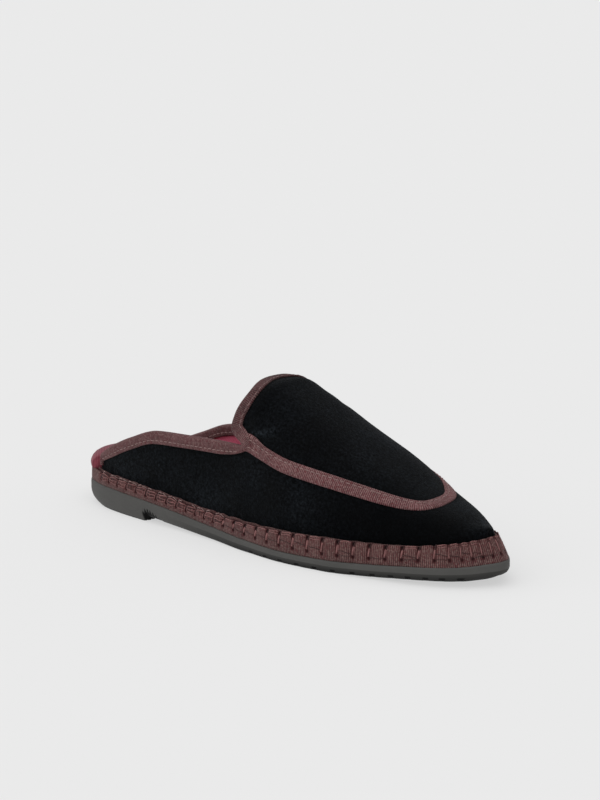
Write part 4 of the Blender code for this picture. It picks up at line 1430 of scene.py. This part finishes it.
# Rows of the rim: in from the top of the lobes, and down from the top of the rim.
rim_section = (
    (0.30, drop + 0.5),
    (0.42, drop),
    (0.42, 0.3),
    (0.55, 0.0),
    (0.85, 0.0),
    (1.05, 0.4),
    (BACK_INSET, LIP_DEPTH),
)
back = [band_inside(around, inset, depth) for inset, depth in rim_section]
foot = band_inside(around, FOOT_INSET, LIP_DEPTH)
foot[:, 2] = face[:, 0, 2]
ring = np.concatenate([face, np.stack(back, 1), foot[:, None], face[:, :1]], axis=1)
across = arc_length(ring).mean(0)
run = arc_length(face[:, RUN_LEVEL])
cloth = np.stack(np.broadcast_arrays(run[:, None], across[None, :]), -1)
band_shade_mask = np.zeros(ring.shape[:2])
band_shade_mask[:, : len(LEVELS)] = dark_shade
band_shade_mask[:, len(LEVELS)] = BACK_SHADE
distance = from_heel(station_at(around)[1])[:, None]
wine = WINE_REAR + (WINE_FRONT - WINE_REAR) * ramp(*WINE_FADES, distance)
ring_level = np.append(LEVELS, np.zeros(ring.shape[1] - len(LEVELS)))
wine = wine * ramp(SEWN_FROM, SEWN_FROM + WINE_STARTS, distance) * ramp(*WINE_LEVELS, ring_level)
band = make_piece("ribbon_band", [(ring, cloth)], band_ribbon, masks={"hole_and_shade": band_shade_mask, "wine": wine})
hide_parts("midsole")

# %% [markdown]
# ## Threads on the band
#
# The whip stitch itself is a soft, thick thread: one leg from each hole up to a dark knot in the fold, and a
# finer leg round the nose. Thin threads of the same colour run along the tops of the lobes, and a dark one ties
# neighbouring legs together. At the rear the thread runs to and fro in a small ladder, and pale stitches hold
# the rim. Beside each pale leg at the rear, a thick dark thread fills the gap and stands in for its shade, as
# painted shade. Curves with a bevel could draw each thread. Here all of them are paths over the band's face,
# given by a count and a level for each point, so they follow every lobe; a seeded choice leaves some out.

# %% Threads over the band
REAR_TO, NOSE_FROM = 112.0, 238.0  # the ladder ends here, and the finer legs start
TOP_FADES, LOW_STARTS = (140.0, 185.0), (160.0, 190.0)  # the threads on the lobes, and the low dark one
THREAD_STANDS = 0.55  # share of its radius that a thread's middle stands over the band
number = np.arange(STITCHES, dtype=float)
stitch_turn = station_at(number)[1]
number = number[from_heel(stitch_turn) > SEWN_FROM]
stitch_turn = station_at(number)[1]
stitch_at = from_heel(stitch_turn)
rear, front, nose = stitch_at < REAR_TO, stitch_at >= REAR_TO, stitch_at > NOSE_FROM
hole_level = HOLE_HEIGHT / band_tall(stitch_turn)


def band_threads(first, last, low, high, radius, chosen=slice(None), wobble=0.0, swell=0.0, sunk=0.0):
    """Round threads over the band's face, from one share of the pitch and one level to another share and
    level. A sine makes them wave by a wobble, another swells their radius in the middle, and all lie sunk by
    a depth."""
    share = np.linspace(0.0, 1.0, 9)
    count = number[chosen, None] + first + (last - first) * share
    start, end = (np.broadcast_to(value, number.shape)[chosen, None] for value in (low, high))
    wave = wobble * np.sin(2.0 * np.pi * (share + uneven.uniform(0.0, 1.0, (len(count), 1))))
    level = start + (end - start) * share + wave
    thick = radius * (1.0 - swell + swell * np.sin(np.pi * share)) * np.ones(count.shape)
    points, out, _ = band_face(count, level, THREAD_STANDS * thick - sunk)
    return tubes(points, out, thick)


def some(odds):
    """A random choice of the stitches, by odds that may differ from one to the next."""
    return uneven.uniform(0.0, 1.0, len(number)) < odds


print("stitches sewn:", len(number), "and of these round the nose:", nose.sum())

# %% All the threads
topped = front & some(1.0 - 0.75 * ramp(*TOP_FADES, stitch_at))
whip_threads = [
    band_threads(-0.05, 0.03, hole_level + 0.10, 0.82, 0.44, front & ~nose, swell=0.35),
    band_threads(0.06, 0.10, hole_level + 0.18, 0.80, 0.18, front & ~nose & some(0.5), swell=0.3),
    band_threads(0.18, 0.86, 0.975, 0.975, 0.18, topped, wobble=0.015),
    band_threads(0.20, 0.88, 0.88, 0.88, 0.15, topped & some(0.7), wobble=0.015),
]
middle = uneven.uniform(0.52, 0.70, len(number))
low_line = front & some(0.5 * ramp(*LOW_STARTS, stitch_at))
dark_threads = [
    band_threads(0.08, 0.92, middle, middle - 0.10, 0.15, topped, wobble=0.015),
    band_threads(0.08, 0.92, hole_level + 0.06, hole_level + 0.06, 0.12, low_line, wobble=0.015),
    band_threads(0.02, 0.10, 0.78, 1.04, 0.50, ~nose, swell=0.3),
    band_threads(-0.05, 0.08, hole_level, 0.90, 0.14, nose & some(0.6), swell=0.3),
    # This thick dark thread lies in the gap beside each pale leg at the rear and stands in for its shade:
    # painted shade.
    band_threads(0.03, 0.03, hole_level, 0.98, 0.40, rear, swell=0.3),
    band_threads(0.30, 0.34, hole_level + 0.1, 0.90, 0.17, rear & some(0.5), swell=0.3),
    band_threads(0.60, 0.56, hole_level + 0.1, 0.90, 0.17, rear & some(0.5), swell=0.3),
    band_threads(0.10, 0.92, 0.88, 0.88, 0.18, rear & some(0.8), wobble=0.03),
    band_threads(0.10, 0.92, 0.64, 0.64, 0.18, rear & some(0.7), wobble=0.03),
]
rear_threads = [
    band_threads(-0.12, -0.09, hole_level + 0.06, 1.0, 0.26, rear, swell=0.3),
    band_threads(0.15, 0.15, hole_level + 0.06, 0.96, 0.22, rear & some(0.8)),
    band_threads(0.46, 0.42, hole_level + 0.12, 0.92, 0.16, rear & some(0.5)),
    band_threads(0.76, 0.72, hole_level + 0.12, 0.92, 0.16, rear & some(0.4)),
    band_threads(0.04, 0.96, 0.98, 0.98, 0.26, rear, wobble=0.03),
    band_threads(0.14, 0.90, 0.76, 0.76, 0.20, rear & some(0.8), wobble=0.03),
    band_threads(0.14, 0.90, 0.52, 0.52, 0.18, rear & some(0.6), wobble=0.03),
]
rim_threads = [
    band_threads(0.12, 0.50, 1.10, 1.16, 0.22, rear & some(0.85), wobble=0.03, sunk=0.25),
    band_threads(0.60, 0.92, 1.14, 1.08, 0.18, rear & some(0.6), wobble=0.03, sunk=0.25),
]
whip_threads += [
    band_threads(-0.06, 0.04, hole_level + 0.10, 0.86, 0.25, nose, swell=0.35),
    band_threads(0.16, 0.86, 0.95, 0.97, 0.15, nose & some(0.6), wobble=0.02),
]
for name, threads, material in (
    ("rim_stitches", rim_threads, edge_thread),
    ("whip_stitches", whip_threads, whip_thread),
    ("rear_stitches", rear_threads, rear_thread),
    ("dark_stitches", dark_threads, dark_thread),
):
    make_piece(name, threads, material)

# %% [markdown]
# ## The rubber sole
#
# The outsole is one moulding: a low heel, a hollow waist, a flat ball and a toe that springs up. Ahead of the
# heel the lower part of its side is coloured darker towards the bottom. Its underside has grooves across it,
# which show at the side of the forefoot as notches. Just ahead of the heel a comb of fins is cut into the side.
# Notches, fins and the hollow under the comb are painted dark as shade. A boolean could cut each groove. Here
# rings across the sole, one for each station, carry all of that: each goes down one side, across the underside
# and up the other side. Extra stations at the grooves' edges and along the comb keep these crisp.

# %% Sizes of the sole
BREAST, BREAST_SLOPE, HEEL_WIDTH = 59.0, 1.4, 60.0  # front of the heel, and about how wide it is
GROOVE_WIDTH, GROOVE_DEPTH, GROOVE_SLOPE = 2.2, 1.3, 0.35
GROOVE_STOP, OPEN_STOP, STOP_SLOPE = 4.0, -2.0, (-0.1, 1.4)  # a groove's end, inside the edge or past it
HEEL_GROOVES, BALL_GROOVES = np.arange(14.0, 48.0, 11.0), np.arange(138.0, 209.0, 10.0)
GROOVES = np.concatenate([HEEL_GROOVES, BALL_GROOVES, [217.0, 225.0, 233.0, 240.0, 247.0]])
# Notches, the comb of fins and the hollow under the comb are painted dark as shade. The heel's lower edge is
# darkened as well.
OPEN_FROM, NOTCH, NOTCH_ROWS = 128.0, 0.05, 4  # from here on the grooves come out as dark notches
UNDER_DARK, HEEL_EDGE = 0.55, 0.8  # how dark the underside is, and the heel's lower edge
COMB_LONG, COMB_DEEP = 12.5, 0.5  # a dark comb of fins is cut into the side just ahead of the heel
COMB = columns("past tall", (-2, 0.34), (0, 0.38), (3.4, 0.45), (6.5, 0.33), (COMB_LONG, 0.04))
FIN_PITCH, FIN_TALL, FIN_BLUR = 1.9, 0.12, 0.03
CUT_FROM, SHADE_FROM, COMB_BLUR = -0.6, -1.1, 0.5  # where the comb's cut and its darkness start
STRIP_FROM, STRIP_TO = BREAST + 5.0, BREAST + 70.0  # over this way the strip gets darker
SHADE_STARTS, SHADE_FADES = (-1.6, -0.4), (4.0, COMB_LONG + 4.0)  # dark hollow under the comb
TOOTH_WIDTH, TOOTH_DEPTH = 2.8, 1.3  # the heel's breast is toothed
SOLE_SIDE = columns(
    "bevel height inset strip",
    (0.0, 1.0, 0.45, 0),
    (0.0, 0.93, 0.08, 0),
    (0.0, 0.86, 0.0, 0),
    (0.0, 0.76, 0.0, 0),
    (0.0, 0.66, 0.0, 0),
    (0.0, 0.61, 0.0, 0),
    (0.0, 0.56, 0.0, 0),
    (0.0, 0.53, 0.10, 0.48),
    (0.03, 0.49, 0.04, 0.52),
    (0.07, 0.44, 0.02, 0.57),
    (0.12, 0.39, 0.0, 0.62),
    (0.18, 0.34, 0.0, 0.69),
    (0.25, 0.28, 0.0, 0.76),
    (0.47, 0.18, 0.0, 0.9),
    (0.72, 0.09, 0.0, 1),
    (1.0, 0.0, 0.25, 1),
)
UNDER = np.linspace(0.0, 1.0, 88)


def sole_low(distance, share):
    """Height of the underside: nothing under the heel, the table's hollow ahead of its toothed breast."""
    tooth = TOOTH_DEPTH * np.abs(2.0 * ((share * HEEL_WIDTH / TOOTH_WIDTH) % 1.0) - 1.0)
    ahead = ramp(BREAST - tooth, BREAST - tooth + BREAST_SLOPE, distance)
    return ahead * read(SOLE, "underside", turn_at(distance))


def side_points(sign, turn, insets, heights):
    """Points on one side of the shoe: a row for each station, a column for each inset and height."""
    return np.concatenate([edge(sign, turn[:, None], insets), heights[..., None]], -1)


print("grooves across the sole:", len(GROOVES))

# %% Sole rings
edges = np.array([-0.5 * GROOVE_WIDTH - GROOVE_SLOPE, -0.5 * GROOVE_WIDTH])
edges = np.concatenate([edges, -edges])
along_comb = np.linspace(BREAST - 2.0, BREAST + 13.0, 50)
regular = from_heel(np.linspace(0.0, np.pi, 221))
places = np.concatenate([regular, (GROOVES[:, None] + edges).ravel(), along_comb])
places = np.unique(np.round(np.clip(places, 0.0, LENGTH), 3))
sole_turn = turn_at(places)
top = read(SOLE, "outsole_top", sole_turn)
bevel = read(SOLE, "bevel", sole_turn)[:, None]
low = sole_low(places, 0.0)
apart = np.abs(places[:, None] - GROOVES).min(1)
cut = 1.0 - ramp(0.5 * GROOVE_WIDTH, 0.5 * GROOVE_WIDTH + GROOVE_SLOPE, apart)
opened = places > OPEN_FROM
notch = low + np.where(opened, NOTCH, 0.0) * cut

past = places - BREAST
fins = np.interp(past, COMB["past"], COMB["tall"], right=-1.0)
fins -= FIN_TALL * np.cos(2.0 * np.pi * past / FIN_PITCH) * (1.0 - ramp(0.5 * COMB_LONG, COMB_LONG, past))
fins = ramp(-FIN_BLUR, FIN_BLUR, fins[:, None] - SOLE_SIDE["height"])
comb_cut, side_shade_and_edge = (fins * ramp(start, start + COMB_BLUR, past)[:, None] for start in (CUT_FROM, SHADE_FROM))

insets = SOLE_SIDE["bevel"] * bevel + SOLE_SIDE["inset"] + COMB_DEEP * comb_cut
heights = low[:, None] + SOLE_SIDE["height"] * (top - low)[:, None]
heights[:, -1] = np.maximum(heights[:, -1], notch)
heights[:, -2] = np.maximum(heights[:, -2], notch + 0.1)
inner, outer = (side_points(sign, sole_turn, insets, heights) for sign in (1.0, -1.0))
inner_foot, outer_foot = inner[:, -1:], outer[:, -1:]
under = inner_foot + UNDER[1:-1, None] * (outer_foot - inner_foot)
share = np.broadcast_to(UNDER[1:-1], under.shape[:2])
to_edge = np.minimum(share, 1.0 - share) * np.linalg.norm(outer_foot - inner_foot, axis=-1)
stop = np.where(opened, OPEN_STOP, GROOVE_STOP)[:, None]
depth = GROOVE_DEPTH * cut[:, None] * ramp(*(stop + slope for slope in STOP_SLOPE), to_edge)
under[..., 2] = sole_low(places[:, None], share) + depth
deck = (outer[:, :1] + inner[:, :1]) / 2.0
ring = np.concatenate([inner, under, outer[:, ::-1], deck, inner[:, :1]], 1)
cloth = np.stack(np.broadcast_arrays(places[:, None], arc_length(ring)), -1)
print("rings along the sole:", len(ring))


# %% Painted shade and darker places of the sole
def round_sole(side, below):
    """A mask for whole rings from its values down one side and its value at each station's underside."""
    below = np.broadcast_to(np.reshape(below, (-1, 1)), under.shape[:2])
    return np.concatenate([side, below, side[:, ::-1], np.zeros((len(side), 1)), side[:, :1]], 1)


# Ahead of the heel the side is coloured darker towards the bottom, and the underside is darker all over.
strip = SOLE_SIDE["strip"] * ramp(STRIP_FROM, STRIP_TO, places)[:, None]
# Painted shade in the notches at the forefoot is added to that of the comb. The heel's lower edge is darkened
# too.
side_shade_and_edge[:, -NOTCH_ROWS:] += np.where(opened, cut, 0.0)[:, None]
side_shade_and_edge[:, -1] += HEEL_EDGE * (1.0 - ramp(BREAST - 2.0, BREAST, places))
shade = ramp(*SHADE_STARTS, past) * (1.0 - ramp(*SHADE_FADES, past))
dark_places = {"darker_below": round_sole(strip, UNDER_DARK), "pit_shade_and_edge": round_sole(side_shade_and_edge, shade)}
sole = make_piece("rubber_sole", [(ring, cloth)], rubber, masks=dark_places)
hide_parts("outsole")

# %% [markdown]
# ## The padded insole
#
# A thin pad covered with wine-red cloth lies between the walls. It is a closed, crowned form: flat below
# where it rests, swelling towards the middle, and at the heel it rolls out over the band's rim. A cloth
# simulation could blow it up, but the pad is thin, so a table of its rounded edge is enough. Its cloth is
# laid out flat as seen from above, so that the weave keeps its size right to the heel.

# %% Insole pad
WALL = 2.0  # velvet and lining together
INSOLE = columns(
    "from_heel thickness", (0, 9.2), (12, 9.2), (28, 8.0), (50, 6.2), (90, 4.2), (LENGTH, 3.6)
)
INSOLE_END, PAD_END, PAD_BLUR = 243.0, 15.0, 1.5  # front of the pad, and where its heel starts to roll out
PAD_ROOM, ROOM_LESS, ROOM_OVER = 2.0, 1.2, (44.0, 60.0)  # room to the wall, less ahead of the collar's ribbon
PAD_SIDE = columns(
    "inset drop",
    (16.0, 0.0),
    (10.0, 0.1),
    (6.5, 0.45),
    (4.0, 1.1),
    (2.2, 2.1),
    (0.9, 3.3),
    (0.2, 4.6),
    (0.0, 5.8),
    (0.3, 7.2),
)
HEEL_ROLL, ROLL_DROP = -0.1, 1.9  # behind the walls the pad rolls out over the band and hangs down this far
pad_places = np.append(from_heel(np.linspace(0.0, turn_at(INSOLE_END), 150)), PAD_END)
pad_places = np.unique(np.round(pad_places, 3))
pad_turn = turn_at(pad_places)
room = PAD_ROOM - ROOM_LESS * ramp(*ROOM_OVER, pad_places)
behind = 1.0 - ramp(PAD_END - PAD_BLUR, PAD_END + PAD_BLUR, pad_places)
inside = upper_inset(pad_turn) + WALL + room
pad_inset = inside * (1.0 - behind) + HEEL_ROLL * behind
pad_low = seat(pad_turn) + GAP
pad_top = pad_low + read(INSOLE, "thickness", pad_turn)
ledge = pad_low + (LIP_DEPTH - ROLL_DROP) * behind

rounded = np.maximum(pad_top[:, None] - PAD_SIDE["drop"], ledge[:, None] + 0.2)
foot = np.where(behind > 0.5, inside, pad_inset + 0.3)
insets = np.column_stack([pad_inset[:, None] + PAD_SIDE["inset"], pad_inset + 0.1 + 0.9 * behind, foot])
heights = np.column_stack([rounded, ledge, pad_low])
inner_pad, outer_pad = (side_points(sign, pad_turn, insets, heights) for sign in (1.0, -1.0))
across_pad = np.linspace(0.0, 1.0, 9)[1:-1, None]
crown = outer_pad[:, :1] + across_pad * (inner_pad[:, :1] - outer_pad[:, :1])
grid = with_ends(np.concatenate([inner_pad, outer_pad[:, ::-1], crown, inner_pad[:, :1]], 1))
pad = make_piece("insole_pad", [(grid, grid[..., :2])], insole_cloth)
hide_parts("insole")

# %% [markdown]
# ## Floor, light and camera
#
# The shoe stands on a pale floor that fills the view, under soft studio light from above. Several lamps could
# be set round it. A pale sky and a sun with a very wide disc are fewer numbers, and with them shadows are
# soft and the floor is even. The camera's angles and scale were fitted to the shoe's own edges, at an assumed
# distance.

# %% Floor and light
FLOOR_SIZE, FLOOR_PALE, FLOOR_GLOW = 40.0, (0.285, 0.285, 0.285, 1.0), 0.55
WHITE = (1.0, 1.0, 1.0, 1.0)
SKY, SUN, SUN_DISC, SUN_TILT = 0.50, 1.55, 100.0, (18.0, -12.0, 0.0)

floor_mesh = bpy.data.meshes.new("floor")
half = FLOOR_SIZE / 2.0
corners = [(-half, -half, 0.0), (half, -half, 0.0), (half, half, 0.0), (-half, half, 0.0)]
floor_mesh.from_pydata(corners, [], [(0, 1, 2, 3)])
floor = bpy.data.objects.new("floor", floor_mesh)
bpy.context.scene.collection.objects.link(floor)
paper, _, _ = new_material(
    "pale_floor",
    Specular_IOR_Level=0.0,
    Roughness=1.0,
    Base_Color=FLOOR_PALE,
    Emission_Color=WHITE,
    Emission_Strength=FLOOR_GLOW,
)
floor_mesh.materials.append(paper)
floor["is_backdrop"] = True

world = bpy.data.worlds.new("studio")
world.use_nodes = True
world.node_tree.nodes["Background"].inputs["Color"].default_value = WHITE
world.node_tree.nodes["Background"].inputs["Strength"].default_value = SKY
bpy.context.scene.world = world

lamp = bpy.data.lights.new("soft_overhead", "SUN")
lamp.energy = SUN
lamp.angle = np.radians(SUN_DISC)
sun = bpy.data.objects.new("soft_overhead", lamp)
sun.rotation_euler = np.radians(SUN_TILT)
bpy.context.scene.collection.objects.link(sun)
bpy.context.scene.view_settings.view_transform = "Standard"
print("floor, sky and sun are set")

# %% Camera
AZIMUTH, ELEVATION = np.radians(42.41), np.radians(12.33)
DISTANCE, SCALE = 1300.0, 2.103  # millimetres to the aim, and pixels in a millimetre there
AIM = np.array([132.0, 0.0, 30.0])
AIM_PIXEL = np.array([296.9, 475.0])  # where the aim lies in the frame
FRAME_WIDTH, FRAME_HEIGHT, SENSOR = 600.0, 800.0, 36.0

right = np.array([np.cos(AZIMUTH), np.sin(AZIMUTH), 0.0])
backward = np.array(
    [np.sin(AZIMUTH) * np.cos(ELEVATION), -np.cos(AZIMUTH) * np.cos(ELEVATION), np.sin(ELEVATION)]
)
upward = np.cross(backward, right)
off_centre = (AIM_PIXEL - np.array([FRAME_WIDTH, FRAME_HEIGHT]) / 2.0) / SCALE
place = AIM + DISTANCE * backward - off_centre[0] * right + off_centre[1] * upward
pose = np.eye(4)
pose[:3, :3] = np.stack([right, upward, backward], -1)
pose[:3, 3] = (place - ORIGIN) * MM

camera_data = bpy.data.cameras.new("camera")
camera_data.sensor_width = SENSOR
camera_data.lens = SCALE * DISTANCE * SENSOR / FRAME_HEIGHT
camera_data.clip_end = 100.0
camera = bpy.data.objects.new("camera", camera_data)
camera.matrix_world = pose.T.tolist()
bpy.context.scene.collection.objects.link(camera)
bpy.context.scene.camera = camera
print("lens", round(camera_data.lens, 1), "mm")

# %% [markdown]
# ## Sizes and the end
#
# The boxes of the model and of the dressed shoe are printed side by side before the scene is closed.
# The dressed shoe may stand only a little proud of the model that it was drawn over.

# %% Finish
bpy.context.view_layer.update()
boxes = {
    name: [list(corner) for corner in box] for name, box in (("model", cad_box), ("dressed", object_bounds()))
}
for name, (lowest, highest) in boxes.items():
    print(name, [round((b - a) / MM, 1) for a, b in zip(lowest, highest)], "mm")
